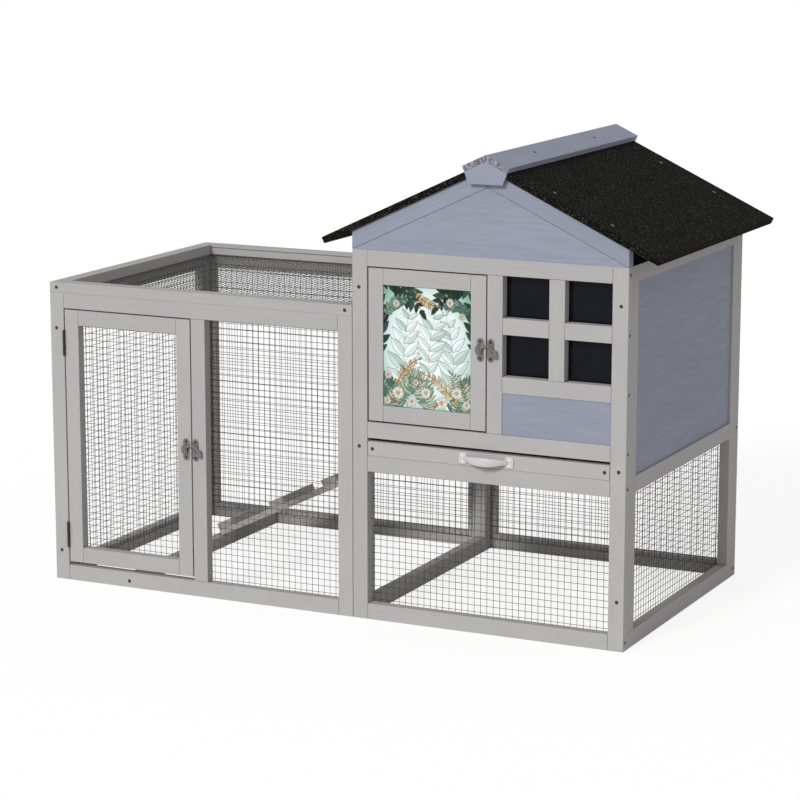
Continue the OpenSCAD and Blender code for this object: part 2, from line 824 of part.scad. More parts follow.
// Latches: a plate on the door carries the hook, a plate on the upright carries the stud
module latch_plate(x, z) {
    straight = latch_h - latch_w;
    translate([x, 0, z]) rotate([90, 0, 0]) {
        block([-latch_w / 2, -straight / 2, 0], [latch_w / 2, straight / 2, latch_t]);
        for (side = [-1, 1])
            translate([0, side * straight / 2, 0]) cylinder(r = latch_w / 2, h = latch_t, $fn = part_fn);
    }
}

module keeper(x, z) {
    latch_plate(x, z);
    facing_front(x, 0, z) cylinder(r = stud_r, h = hook_y + hook_t + hook_play, $fn = part_fn);
}

module door_latch_plate(x, z) {
    latch_plate(x, z);
    facing_front(x - latch_pivot_in, 0, z) {
        cylinder(r = rivet_r, h = hook_y + hook_t + hook_play + rivet_head, $fn = part_fn);
        cylinder(r = (rivet_r + eye_r) / 2, h = hook_y - hook_play, $fn = part_fn);
        translate([0, 0, hook_y + hook_t + hook_play])
            cylinder(r = (rivet_r + eye_r) / 2, h = rivet_head, $fn = part_fn);
    }
}

module plate_screws(x, z) {
    for (side = [-1, 1])
        facing_front(x, -latch_t, z + side * latch_screw_gap / 2) screw(small_screw_l, small_head_r, head_h);
}

// A hook's outline: a boss on the rivet, an arch over the stud and a finger tab beyond it
module hook_arch() {
    reach = 3 * (arch_in + hook_strip);
    translate([stud_reach - arch_back, -arch_drop]) difference() {
        circle(r = arch_in + hook_strip, $fn = arch_fn);
        circle(r = arch_in, $fn = arch_fn);
        translate([-reach / 2, arch_drop - tab_drop - reach]) square(reach);
    }
}

module hook_tab() {
    slant = norm([tab_l, tab_lean]);
    translate([tab_x, -tab_drop]) rotate([0, 0, atan(tab_lean / tab_l)]) {
        circle(r = tab_r, $fn = part_fn);
        translate([-tab_r, -slant]) square([2 * tab_r, slant]);
        translate([0, -slant]) circle(r = tab_r, $fn = part_fn);
    }
}

module hook(x, z) {
    facing_front(x - latch_pivot_in, 0, z) translate([0, 0, hook_y]) linear_extrude(hook_t) difference() {
        union() {
            square([2 * eye_r, eye_straight], center = true);
            for (side = [-1, 1])
                translate([0, side * eye_straight / 2]) circle(r = eye_r, $fn = part_fn);
            hook_arch();
            hook_tab();
        }
        circle(r = rivet_r + run_fit, $fn = part_fn);
        translate([stud_reach, 0]) circle(r = stud_r + stud_gap, $fn = part_fn);
    }
}

module latch_keepers() {
    color(zinc) place() {
        keeper(run_keep_x, run_latch_z);
        keeper(house_keep_x, house_latch_z);
    }
}

module keeper_screws() {
    color(bronze) place() {
        plate_screws(run_keep_x, run_latch_z);
        plate_screws(house_keep_x, house_latch_z);
    }
}

// The run door
module run_door_frame() {
    color(fir) place() {
        post_x(run_door_x0, 0, run_door_z0, run_door_z1);
        post_x(run_door_x1 - bat_w, 0, run_door_z0, run_door_z1);
        rail_x(run_door_x0 + bat_w, run_door_x1 - bat_w, 0, run_door_z0);
        rail_x(run_door_x0 + bat_w, run_door_x1 - bat_w, 0, run_door_z1 - bat_w);
    }
}

module run_door_net() {
    net_xz(run_door_x0 + bat_w - net_lap, run_door_x1 - bat_w + net_lap,
           run_door_z0 + bat_w - net_lap, run_door_z1 - bat_w + net_lap, bat_t);
}

module run_latch_plate() { color(zinc) place() door_latch_plate(run_latch_x, run_latch_z); }
module run_latch_screws() { color(bronze) place() plate_screws(run_latch_x, run_latch_z); }
module run_latch_hook() { color(zinc) place() hook(run_latch_x, run_latch_z); }

// The house door
module house_door_frame() {
    color(fir) place() {
        difference() {
            post_x(house_door_x0, 0, house_door_z0, house_door_z1);
            translate([house_door_x0, 0, house_door_z0 - 1]) rotate([0, 0, 45])
                translate([-pivot_ease, -pivot_ease, 0] / sqrt(2))
                    cube([sqrt(2) * pivot_ease, sqrt(2) * pivot_ease, wall_h]);
            for (z = [house_door_z0, house_door_z1])
                translate([pivot_x, pivot_in, z - pivot_l / 2 - 1])
                    cylinder(r = pivot_r + run_fit, h = pivot_l + 2, $fn = part_fn);
        }
        post_x(house_door_x1 - bat_w, 0, house_door_z0, house_door_z1);
        rail_x(house_door_x0 + bat_w, house_door_x1 - bat_w, 0, house_door_z0);
        rail_x(house_door_x0 + bat_w, house_door_x1 - bat_w, 0, house_door_z1 - bat_w);
    }
}

module door_picture_panel() {
    color("#86ab98") place()
        block([house_door_x0 + bat_w + seam, picture_recess, house_door_z0 + bat_w + seam],
              [house_door_x1 - bat_w - seam, picture_recess + picture_t, house_door_z1 - bat_w - seam]);
}

module house_latch_plate() { color(zinc) place() door_latch_plate(house_latch_x, house_latch_z); }
module house_latch_screws() { color(bronze) place() plate_screws(house_latch_x, house_latch_z); }
module house_latch_hook() { color(zinc) place() hook(house_latch_x, house_latch_z); }

// The pull-out tray
module tray_front() {
    color(fir) place() block([tray_x0, 0, tray_z], [tray_x1, bat_t, tray_front_z1]);
}

module tray_box() {
    z0 = tray_z + tray_floor_t;
    z1 = z0 + tray_side_h;
    color(fir) place() {
        for (x = [tray_x0, tray_x1 - tray_side_t])
            block([x, bat_t + seam, z0], [x + tray_side_t, tray_y1, z1]);
        block([tray_x0 + tray_side_t + seam, tray_y1 - tray_side_t, z0],
              [tray_x1 - tray_side_t - seam, tray_y1, z1]);
    }
}

module tray_floor() {
    color("#b9a384") place() block([tray_x0, bat_t, tray_z], [tray_x1, tray_y1, tray_z + tray_floor_t]);
}

// The radius of an arc from its chord and its rise
function arc_r(chord, rise) = (chord * chord / 4 + rise * rise) / (2 * rise);

module grip_leaf() {
    r = arc_r(grip_l, (grip_h - grip_end_h) / 2);
    along_y(-handle_h - grip_t, 0) intersection() {
        translate([0, r - grip_h / 2]) circle(r = r, $fn = leaf_fn);
        translate([0, grip_h / 2 - r]) circle(r = r, $fn = leaf_fn);
        square([grip_l + grip_t, grip_h + grip_t], center = true);
    }
}

module tray_handle() {
    r = arc_r(grip_l, handle_h);
    color("#d6d6d6") place() translate([tray_mid_x, 0, tray_mid_z]) {
        for (side = [-1, 1])
            block([side * foot_x - foot_w / 2, -foot_t, -foot_h / 2],
                  [side * foot_x + foot_w / 2, 0, foot_h / 2]);
        intersection() {
            translate([0, r - handle_h, -grip_h]) difference() {
                cylinder(r = r, h = 2 * grip_h, $fn = bow_fn);
                translate([0, 0, -1]) cylinder(r = r - grip_t, h = 2 * grip_h + 2, $fn = bow_fn);
            }
            grip_leaf();
        }
    }
}

module tray_screws() {
    color(bronze) place() {
        for (x = [tray_x0 + tray_screw_in, tray_x1 - tray_screw_in])
            facing_front(x, 0, tray_mid_z) screw(screw_l, head_r, head_h);
        for (side = [-1, 1], k = [-1, 1])
            facing_front(tray_mid_x + side * foot_x, -foot_t, tray_mid_z + k * foot_h / 4)
                screw(small_screw_l, foot_head_r, head_h);
    }
}

run_front_frame();
run_left_frame();
run_rear_frame();
run_top_frame();
run_floor_bar();
run_front_net();
run_left_net();
run_rear_net();
run_top_net();
house_front_frame();
window_bars();
window_pane();
front_panel();
house_right_frame();
right_panel();
house_left_frame();
left_panel();
house_rear_frame();
rear_panel();
house_front_net();
house_right_net();
house_rear_net();
tray_runners();
front_gable();
rear_gable();
front_bargeboards();
rear_bargeboards();
roof_board_left();
roof_board_right();
roof_felt_left();
roof_felt_right();
ridge_board_left();
ridge_board_right();
ridge_end_plates();
ramp_plank();
ramp_cleats();
frame_screws();
ridge_screws();
felt_nails();
hinge_post_leaves();
hinge_pins();
house_door_pivots();
latch_keepers();
keeper_screws();
run_door_frame();
run_door_net();
hinge_door_leaves();
run_latch_plate();
run_latch_screws();
run_latch_hook();
house_door_frame();
door_picture_panel();
house_latch_plate();
house_latch_screws();
house_latch_hook();
tray_front();
tray_box();
tray_floor();
tray_handle();
tray_screws();
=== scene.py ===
# %% [markdown]
# # A rabbit cage with an attached run
# The cage is a small house on legs with a wire run joined to its left side. The exact solids come from the
# CAD model, which also says where every piece is and how it moves. What they lack is what the eye looks
# for: eased edges and grain, the full half-inch mesh, crossed screw heads, a leaf-shaped handle and a
# printed door panel. Each cell below adds one of these.

# %% Load the exact model
import json
import math

import bmesh
import bpy
import numpy as np
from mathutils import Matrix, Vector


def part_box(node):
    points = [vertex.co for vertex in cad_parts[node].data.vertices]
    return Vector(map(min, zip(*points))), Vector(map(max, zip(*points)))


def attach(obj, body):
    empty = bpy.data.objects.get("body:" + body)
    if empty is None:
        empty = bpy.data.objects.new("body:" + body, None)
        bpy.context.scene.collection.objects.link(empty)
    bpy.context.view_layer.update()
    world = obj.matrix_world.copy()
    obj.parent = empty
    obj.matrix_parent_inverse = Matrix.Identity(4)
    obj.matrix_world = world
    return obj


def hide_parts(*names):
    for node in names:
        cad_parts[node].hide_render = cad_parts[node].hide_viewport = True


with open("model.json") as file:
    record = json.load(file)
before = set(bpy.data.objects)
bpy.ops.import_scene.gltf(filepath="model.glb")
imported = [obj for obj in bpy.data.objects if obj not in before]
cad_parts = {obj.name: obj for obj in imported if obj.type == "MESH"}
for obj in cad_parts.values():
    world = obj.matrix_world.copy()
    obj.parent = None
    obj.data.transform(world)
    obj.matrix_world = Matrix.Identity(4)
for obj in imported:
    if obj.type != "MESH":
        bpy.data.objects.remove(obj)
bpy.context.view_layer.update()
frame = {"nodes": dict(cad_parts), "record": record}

# %% [markdown]
# ## Camera
# The photograph was taken from the front right with a long lens. Its vanishing points and the slight lean
# of the uprights give the place, the turn and the focal length. A lens shift would fit the frame's edges a
# little better, but it would push the cage out of the other views, so the camera has none.

# %% Camera
LENS_MM, SENSOR_MM = 124.784, 36
PLACE, DEGREES_DOWN, DEGREES_LEFT = (2.29992, -4.79592, 1.41917), 11.2637, 25.8136

scene = bpy.context.scene
eye = bpy.data.cameras.new("camera")
eye.lens = LENS_MM
eye.sensor_width = SENSOR_MM
eye.clip_end = 60
camera = bpy.data.objects.new("camera", eye)
scene.collection.objects.link(camera)
camera.location = PLACE
camera.rotation_euler = (math.radians(90 - DEGREES_DOWN), 0, math.radians(DEGREES_LEFT))
scene.camera = camera
print("camera", round(camera.location.length, 2), "m from the origin")

# %% [markdown]
# ## Colour and one small tool for nodes
# Paint charts and screens give colours as sRGB hex values, while Blender's shaders reckon in linear light,
# so one function turns one into the other. A node tree is easiest to read when each node is made in one
# line with its settings and its links, which is all that `add` does.

# %% Colour and nodes
def srgb(code):
    """Red, green and blue of a hex value, each from 0 to 1."""
    return np.array([int(code[i:i + 2], 16) for i in (1, 3, 5)]) / 255


def to_linear(colours):
    """Linear light of sRGB values: c / 12.92 up to 0.04045, else ((c + 0.055) / 1.055) to the power 2.4."""
    return np.where(colours <= 0.04045, colours / 12.92, ((colours + 0.055) / 1.055) ** 2.4)


def light(code):
    """Linear colour of a hex value, with full cover, for a shader's socket."""
    return (*to_linear(srgb(code)), 1.0)


def join(source, target):
    """Joins an output to an input. A node stands for the first of its outputs that is in use."""
    if isinstance(source, bpy.types.Node):
        source = next(output for output in source.outputs if output.enabled)
    target.id_data.links.new(source, target)


def add(tree, kind, settings=None, links=None):
    """Adds a node, sets its properties and input values, and joins other nodes' outputs to its inputs."""
    node = tree.nodes.new("ShaderNode" + kind)
    for key, value in (settings or {}).items():
        if isinstance(key, str) and hasattr(node, key):
            setattr(node, key, value)
        else:
            node.inputs[key].default_value = value
    for key, source in (links or {}).items():
        join(source, node.inputs[key])
    return node


def start_finish(name, colour, roughness, **more):
    """A material with its colour, its roughness and other numbers on the shader's own sockets."""
    material = bpy.data.materials.new(name)
    material.use_nodes = True
    shader = material.node_tree.nodes["Principled BSDF"]
    shader.inputs["Base Color"].default_value = light(colour)
    shader.inputs["Roughness"].default_value = roughness
    for key, value in more.items():
        shader.inputs[key.replace("_", " ")].default_value = value
    material.diffuse_color = light(colour)
    return material, material.node_tree, shader


def dress(shader, **sources):
    """Joins each source to the shader's input of that name."""
    for key, source in sources.items():
        join(source, shader.inputs[key.replace("_", " ")])


print("#808080 in linear light:", round(float(light("#808080")[0]), 3))

# %% [markdown]
# ## Floor and light
# The cage stands in a white studio. A flat floor carries its soft shadow, and camera rays see the floor and
# the world as white, so the lamps needn't be turned up for it. A pale world fills the shadows, and one
# broad lamp from the front left makes the fronts the brightest faces, the tops a little darker, and the
# right-hand side about three quarters as bright.

# %% Floor
# Half of the floor's side, and how far it lies below the cage's feet, in metres.
HALF, SUNK = 15, 0.0006

floor_mesh = bpy.data.meshes.new("floor")
corners = [(x * HALF, y * HALF, -SUNK) for x, y in ((-1, -1), (1, -1), (1, 1), (-1, 1))]
floor_mesh.from_pydata(corners, [], [(0, 1, 2, 3)])
floor = bpy.data.objects.new("floor", floor_mesh)
scene.collection.objects.link(floor)
floor_paint, tree, shader = start_finish("pale_studio_floor", "#e6e6e6", 0.9, Specular_IOR_Level=0)
path = add(tree, "LightPath")
seen = add(tree, "Math", {"operation": "MAXIMUM"},
           {0: path.outputs["Is Camera Ray"], 1: path.outputs["Is Glossy Ray"]})
seen = add(tree, "Math", {"operation": "MAXIMUM"}, {0: seen, 1: path.outputs["Is Transmission Ray"]})
glow = add(tree, "Emission", {"Color": (1, 1, 1, 1), "Strength": 0.84})
dim = add(tree, "BsdfDiffuse", {"Color": (0.2, 0.2, 0.2, 1)})
shown = add(tree, "AddShader", None, {0: glow, 1: dim})
both = add(tree, "MixShader", None, {0: seen, 1: shader, 2: shown})
join(both, tree.nodes["Material Output"].inputs["Surface"])
floor_mesh.materials.append(floor_paint)
print("floor", [round(v) for v in floor.dimensions])

# %% World
scene.view_settings.view_transform = "Standard"
world = bpy.data.worlds.new("studio")
scene.world = world
world.use_nodes = True
tree = world.node_tree
path = add(tree, "LightPath")
seen = add(tree, "Math", {"operation": "MAXIMUM"},
           {0: path.outputs["Is Camera Ray"], 1: path.outputs["Is Transmission Ray"]})
fill = add(tree, "Background", {"Color": (1, 1, 1, 1), "Strength": 0.5})
white = add(tree, "Background", {"Color": (1, 1, 1, 1), "Strength": 1.0})
both = add(tree, "MixShader", None, {0: seen, 1: fill, 2: white})
join(both, tree.nodes["World Output"].inputs["Surface"])
print("world", world.name)

# %% Lamp
# How far the lamp stands off the upright, and round from the front, where minus is to the left.
DEGREES_OFF, DEGREES_ROUND = 58, -10

lamp = bpy.data.lights.new("broad_lamp", "SUN")
lamp.energy = 1.75
lamp.angle = math.radians(13)
sun = bpy.data.objects.new("broad_lamp", lamp)
scene.collection.objects.link(sun)
sun.rotation_euler = (math.radians(DEGREES_OFF), 0, math.radians(DEGREES_ROUND))
print("lamp strength", lamp.energy)

# %% [markdown]
# ## Battens and boards with eased edges
# A sawn batten never has a knife edge: planing and handling leave it rounded by half a millimetre, and that
# thin line is what catches the light. The CAD battens are sharp, and the faces of their meshes are loose,
# so a copy is joined, its flat faces are made whole, and its long edges are rolled over. Modelling each
# batten again would give the same shape with more room for mistakes.
#
# Timber also needs to know which way it grew. For each loose part the longest direction of its points is
# worked out, and every point keeps its distance along it and across it, so that one wood material fits a
# post, a rail and a sloping bargeboard alike.

# %% Joined copies and their loose parts
# Points of a CAD mesh that are nearer than this are one point, in metres.
SAME = 1e-6


def joined(node):
    """A working copy of a node's mesh, with its loose faces joined where their corners meet."""
    work = bmesh.new()
    work.from_mesh(frame["nodes"][node].data)
    bmesh.ops.remove_doubles(work, verts=work.verts, dist=SAME)
    return work


def numbers(rows, field, wide=1, kind=float):
    """One field of all rows of a mesh's table as an array, with so many numbers to a row."""
    flat = np.empty(len(rows) * wide, kind)
    rows.foreach_get(field, flat)
    return flat.reshape(-1, wide) if wide > 1 else flat


def loose_parts(mesh):
    """Number of the loose part of each point. The lowest point number is handed along the edges until none
    changes."""
    start, stop = numbers(mesh.edges, "vertices", 2, int).T
    label = np.arange(len(mesh.vertices))
    while True:
        low = np.minimum(label[start], label[stop])
        new = label.copy()
        np.minimum.at(new, start, low)
        np.minimum.at(new, stop, low)
        if (new == label).all():
            return np.unique(label, return_inverse=True)[1]
        label = new


example = frame["nodes"]["run_front_frame"].data
print("loose faces of the run's front frame:", loose_parts(example).max() + 1)

# %% Grain
# Metres from a plank's middle to the heart line, least and most.
HEART = (0.03, 0.09)
# Least cosine between a plank's length and the way that an end face looks.
END_COSINE = 0.8


def mark_grain(mesh, seed):
    """Gives each point its place in its plank and the plank's tone, and each face whether it is an end face.
    Place: distances from the part's middle along its longest, middle and shortest directions, moved by a
    seeded shift along it and by the way to the heart line."""
    points, part = numbers(mesh.vertices, "co", 3), loose_parts(mesh)
    dice = np.random.default_rng(seed)
    place, tone = np.zeros_like(points), np.zeros(len(points))
    along = np.zeros((part.max() + 1, 3))
    for k in range(part.max() + 1):
        mine = part == k
        away = points[mine] - (points[mine].min(0) + points[mine].max(0)) / 2
        directions = np.linalg.svd(away, full_matrices=False)[2]
        along[k] = directions[0]
        reach, turn = dice.uniform(*HEART), dice.uniform(0, 6.28)
        place[mine] = away @ directions.T + [dice.uniform(0, 9), reach * np.cos(turn), reach * np.sin(turn)]
        tone[mine] = dice.uniform(-1, 1)
    corner = numbers(mesh.loops, "vertex_index", 1, int)[numbers(mesh.polygons, "loop_start", 1, int)]
    end = np.abs((numbers(mesh.polygons, "normal", 3) * along[part[corner]]).sum(1)) > END_COSINE
    for name, kind, domain, field, values in (("grain", "FLOAT_VECTOR", "POINT", "vector", place),
                                              ("tone", "FLOAT", "POINT", "value", tone),
                                              ("end", "FLOAT", "FACE", "value", end)):
        mesh.attributes.new(name, kind, domain).data.foreach_set(field, values.astype(np.float32).ravel())


print("heart lines lie", *HEART, "m off, least and most")

# %% Eased copies
# Faces become one where they turn by less than FLAT. An edge is rolled over where it turns by over SHARP,
# and it shows as a crease where it turns by more than CREASE.
FLAT, SHARP, CREASE = math.radians(0.5), math.radians(25), math.radians(50)

body_of = {node: body for body, nodes in frame["record"]["behaviour"]["bodies"].items() for node in nodes}


def shelve(mesh, material, node, stands=True):
    """Puts a finished mesh on the stage as a piece that rides with a node's body, and hides the node when the
    piece stands for it."""
    piece = bpy.data.objects.new(mesh.name, mesh)
    scene.collection.objects.link(piece)
    mesh.materials.append(material)
    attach(piece, body_of[node])
    if stands:
        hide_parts(node)
    return piece


def eased(node, material, width=0.0006, steps=2, shortest=0.004, small=25e-6):
    """Copy of a node with its edges rolled over by width, where they are longer than shortest, in metres.
    Faces under small square metres are shaded as parts of a curve, and larger ones stay flat to the light."""
    work = joined(node)
    bmesh.ops.dissolve_limit(work, angle_limit=FLAT, verts=work.verts, edges=work.edges)
    sharp = [edge for edge in work.edges
             if edge.calc_length() > shortest and edge.is_manifold and edge.calc_face_angle() > SHARP]
    rolled = bmesh.ops.bevel(work, geom=sharp, offset=width, segments=steps, profile=0.5, affect="EDGES",
                             clamp_overlap=True)["faces"]
    for face in work.faces:
        face.smooth = face.calc_area() < small
    for face in rolled:
        face.smooth = True
    for edge in work.edges:
        edge.smooth = not edge.is_manifold or edge.calc_face_angle() < CREASE
    mesh = bpy.data.meshes.new(node + "_eased")
    work.to_mesh(mesh)
    work.free()
    mark_grain(mesh, sum(node.encode()))
    return shelve(mesh, material, node)


print("bodies:", ", ".join(sorted(set(body_of.values()))))

# %% [markdown]
# ## Fir with a thin grey wash
# The battens are planed fir under a thin, matte, slightly see-through grey stain. Close to, the growth
# rings show as fine lines along the batten, with cooler and warmer clouds where the wood took more or less
# of the wash, and the sawn ends drank more of it and look darker. Growth rings are drawn the way a tree
# makes them, as the distance from a heart line that lies outside the batten, bent by noise, so the same
# formula gives long lines on the faces and arcs on the ends. Real rings are 1 to 2 mm apart; they are drawn
# at 3.2 mm, because finer ones vanish at this size.

# %% Washed fir
# All in metres: from ring to ring, and how far the rings swerve; length and width of a bend and of a cloud.
RING, SWERVE = 0.0032, 0.03
BEND, CLOUD = (0.625, 0.045), (0.11, 0.038)


def marks(long, wide):
    """Scale of a pattern whose marks have this length along the grain and this width across it, in metres."""
    return 1 / long, 1 / wide, 1 / wide


def timber(name, base, dark, cool, depth, roughness, ring_share, end_dark, fibre):
    """Wood in a base and a cool tone, with a figure of streaks and rings that takes at most depth of dark.
    Ring tone: ring_share times the sine of 2 pi times the bent distance from the heart line over RING.
    A streak has the length and width in fibre, in metres, and sawn ends take end_dark of dark."""
    material, tree, shader = start_finish(name, base, roughness, IOR=1.5, Specular_IOR_Level=0.25)
    place = add(tree, "Attribute", {"attribute_name": "grain"}).outputs["Vector"]
    tone = add(tree, "Attribute", {"attribute_name": "tone"}).outputs["Fac"]
    end = add(tree, "Attribute", {"attribute_name": "end"}).outputs["Fac"]
    noises = []
    for size, detail in ((BEND, 3.0), (fibre, 2.0), (CLOUD, 2.0)):
        scaled = add(tree, "Mapping", {"Scale": marks(*size)}, {"Vector": place})
        noises.append(add(tree, "TexNoise", {"Scale": 1.0, "Detail": detail}, {"Vector": scaled}))
    bend, streaks, clouds = noises
    across = add(tree, "VectorMath", {"operation": "MULTIPLY", 1: (0, 1, 1)}, {0: place})
    radius = add(tree, "VectorMath", {"operation": "LENGTH"}, {0: across})
    bent = add(tree, "Math", {"operation": "MULTIPLY_ADD", 1: SWERVE}, {0: bend, 2: radius})
    turns = add(tree, "Math", {"operation": "MULTIPLY", 1: 2 * math.pi / RING}, {0: bent})
    rings = add(tree, "Math", {"operation": "SINE"}, {0: turns})
    figure = add(tree, "Math", {"operation": "MULTIPLY_ADD", 1: ring_share}, {0: rings, 2: streaks})
    shade = add(tree, "MapRange", {"From Min": 0.25, "From Max": 0.8, "To Min": 0.0, "To Max": depth},
                {"Value": figure})
    cool_share = add(tree, "MapRange", {"From Min": 0.35, "From Max": 0.65}, {"Value": clouds})
    wash = add(tree, "Mix", {"data_type": "RGBA", 6: light(base), 7: light(cool)}, {0: cool_share})
    grained = add(tree, "Mix", {"data_type": "RGBA", 7: light(dark)}, {0: shade, 6: wash})
    sawn = add(tree, "Math", {"operation": "MULTIPLY", 1: end_dark}, {0: end})
    ended = add(tree, "Mix", {"data_type": "RGBA", 7: light(dark)}, {0: sawn, 6: grained})
    lift = add(tree, "Math", {"operation": "MULTIPLY_ADD", 1: 0.02, 2: 1.0}, {0: tone})
    final = add(tree, "VectorMath", {"operation": "SCALE"}, {0: ended, "Scale": lift})
    span = {"From Min": 0.2, "From Max": 0.8, "To Min": roughness - 0.06, "To Max": roughness + 0.08}
    rough = add(tree, "MapRange", span, {"Value": streaks})
    bump = add(tree, "Bump", {"Strength": 0.25, "Distance": 0.0004}, {"Height": figure})
    dress(shader, Base_Color=final, Roughness=rough, Normal=bump)
    return material


washed_fir = timber("washed_fir", base="#b7b5b1", dark="#9b9893", cool="#b3b1b2", depth=0.2, roughness=0.78,
                    ring_share=0.07, end_dark=0.45, fibre=(0.017, 0.0033))
print("finish", washed_fir.name)

# %% [markdown]
# ## Blue-grey paint
# The gables, the ridge and the wall panels have one thin coat of blue-grey emulsion, brushed along the
# grain. It hides the colour of the wood, but the ridges of the grain still show as darker lines. The same
# wood formula serves, with a stronger figure and longer lines: a mark is 50 mm long and 4.3 mm wide, where
# the fir's are 17 mm and 3.3 mm. The ridge has a paler coat. The sawn ends of its boards drank the paint
# and show brown-grey blots, 4 mm wide, across them.

# %% Blue-grey paint
brushed = {"depth": 0.36, "roughness": 0.62, "ring_share": 0.08, "fibre": (0.05, 0.0043)}
blue_paint = timber("blue_grey_paint", base="#999dad", dark="#7e8294", cool="#959aa9", end_dark=0.15,
                    **brushed)
ridge_paint = timber("blue_grey_paint_on_ridge", base="#9da1b1", dark="#828698", cool="#999ead", end_dark=0.0,
                     **brushed)
tree = ridge_paint.node_tree
shader = tree.nodes["Principled BSDF"]
painted = shader.inputs["Base Color"].links[0].from_socket
place = add(tree, "Attribute", {"attribute_name": "grain"}).outputs["Vector"]
end = add(tree, "Attribute", {"attribute_name": "end"}).outputs["Fac"]
blot_place = add(tree, "Mapping", {"Scale": (1, 1 / 0.004, 1 / 0.014)}, {"Vector": place})
blots = add(tree, "TexNoise", {"Scale": 1.0, "Detail": 2.0}, {"Vector": blot_place})
share = add(tree, "MapRange", {"From Min": 0.44, "From Max": 0.54}, {"Value": blots})
share = add(tree, "Math", {"operation": "MULTIPLY"}, {0: share, 1: end})
bare = add(tree, "Mix", {"data_type": "RGBA", 7: light("#6e686c")}, {0: share, 6: painted})
dress(shader, Base_Color=bare)
print("finishes", blue_paint.name, ridge_paint.name)

# %% [markdown]
# ## Bare plywood
# The tray's floor and the roof boards are 4 and 11 mm plywood: peeled veneers 1.4 mm thick, laid crosswise,
# so the faces have broad wavy figure and the edges show stripes. The stripes follow the distance through
# the board.

# %% Plywood
VENEER = 0.0014

plywood, tree, shader = start_finish("birch_plywood", "#b9a384", 0.7)
place = add(tree, "Attribute", {"attribute_name": "grain"}).outputs["Vector"]
figure_place = add(tree, "Mapping", {"Scale": marks(0.33, 0.025)}, {"Vector": place})
figure = add(tree, "TexNoise", {"Scale": 1.0, "Detail": 4.0, "Distortion": 0.6}, {"Vector": figure_place})
faces = add(tree, "Mix", {"data_type": "RGBA", 6: light("#c2ad8e"), 7: light("#a88f6c")}, {0: figure})
through = add(tree, "SeparateXYZ", None, {0: place}).outputs["Z"]
turns = add(tree, "Math", {"operation": "MULTIPLY", 1: math.pi / VENEER}, {0: through})
layers = add(tree, "Math", {"operation": "SINE"}, {0: turns})
share = add(tree, "MapRange", {"From Min": -0.2, "From Max": 0.2, "To Max": 0.3}, {"Value": layers})
striped = add(tree, "Mix", {"data_type": "RGBA", 7: light("#86694a")}, {0: share, 6: faces})
bump = add(tree, "Bump", {"Strength": 0.2, "Distance": 0.0003}, {"Height": figure})
dress(shader, Base_Color=striped, Normal=bump)
print("finish", plywood.name)

# %% [markdown]
# ## Roofing felt
# The roof is covered with bitumen felt, rolled in dark mineral grit so that it wears well. The grit is a
# dense field of dark grains with a few pale ones. Cells of 1.7 mm stand for them, and only the palest show
# as flecks; a second field at about half the size keeps it from looking like tiles.

# %% Roofing felt
GRAIN, DUST = 0.0017, 0.0009

roof_felt, tree, shader = start_finish("mineral_roofing_felt", "#161615", 0.95, Specular_IOR_Level=0.1)
where = add(tree, "TexCoord").outputs["Object"]
grit = add(tree, "TexVoronoi", {"Scale": 1 / GRAIN}, {"Vector": where})
fine = add(tree, "TexVoronoi", {"Scale": 1 / DUST}, {"Vector": where})
shade = add(tree, "SeparateXYZ", None, {0: grit.outputs["Color"]}).outputs["X"]
fine_shade = add(tree, "SeparateXYZ", None, {0: fine.outputs["Color"]}).outputs["Y"]
fleck = add(tree, "MapRange", {"From Min": 0.86, "From Max": 1.0, "To Max": 0.9}, {"Value": shade})
dust_and_reflection = add(tree, "MapRange", {"From Min": 0.8, "From Max": 1.0, "To Max": 0.3}, {"Value": fine_shade})
either = add(tree, "Math", {"operation": "MAXIMUM"}, {0: fleck, 1: dust_and_reflection})
colour = add(tree, "Mix", {"data_type": "RGBA", 6: light("#0a0a09"), 7: light("#55544c")}, {0: either})
bump = add(tree, "Bump", {"Strength": 0.5, "Distance": 0.0006}, {"Height": shade})
dress(shader, Base_Color=colour, Normal=bump)
print("finish", roof_felt.name)

# %% [markdown]
# ## Metals
# Five metals are at work. The latches, the staples and the felt's nails are steel with dull zinc plate,
# cloudy from the bath, and the hinges have a dark coat instead. The timber screws have a brown coat,
# scuffed paler where the driver turned. The mesh is galvanised wire that has gone dull and dark, so little
# of it shines. The handle's four screws are bright zinc, and they come with the screws below.
#
# A plated or moulded skin is never one even tone, so one function lays clouds of a real size over a finish.

# %% Cloudy finishes
def clouded(name, colour, roughness, size, detail, tones=None, span=None, **more):
    """A finish with clouds of a size in metres, which mix two tones and spread the roughness over a span."""
    material, tree, shader = start_finish(name, colour, roughness, **more)
    where = add(tree, "TexCoord").outputs["Object"]
    cloud = add(tree, "TexNoise", {"Scale": 1 / size, "Detail": detail}, {"Vector": where})
    if tones:
        mixed = add(tree, "Mix", {"data_type": "RGBA", 6: light(tones[0]), 7: light(tones[1])}, {0: cloud})
        dress(shader, Base_Color=mixed)
    if span:
        rough = add(tree, "MapRange", {"To Min": span[0], "To Max": span[1]}, {"Value": cloud})
        dress(shader, Roughness=rough)
    return material, tree, shader, cloud


zinc_plate = clouded("zinc_plated_steel", "#8b8a88", 0.5, 0.006, 3.0, ("#4a4948", "#9a9997"), (0.22, 0.46),
                     Metallic=0.7)[0]
dark_steel = clouded("dark_coated_steel", "#323231", 0.5, 0.004, 4.0, ("#222221", "#3f3e3c"), (0.4, 0.65),
                     Metallic=0.3)[0]
dull_wire = clouded("galvanised_wire", "#454645", 0.55, 0.025, 2.0, ("#3a3b3b", "#525352"), Metallic=0.5)[0]
print("finishes", zinc_plate.name, dark_steel.name, dull_wire.name)

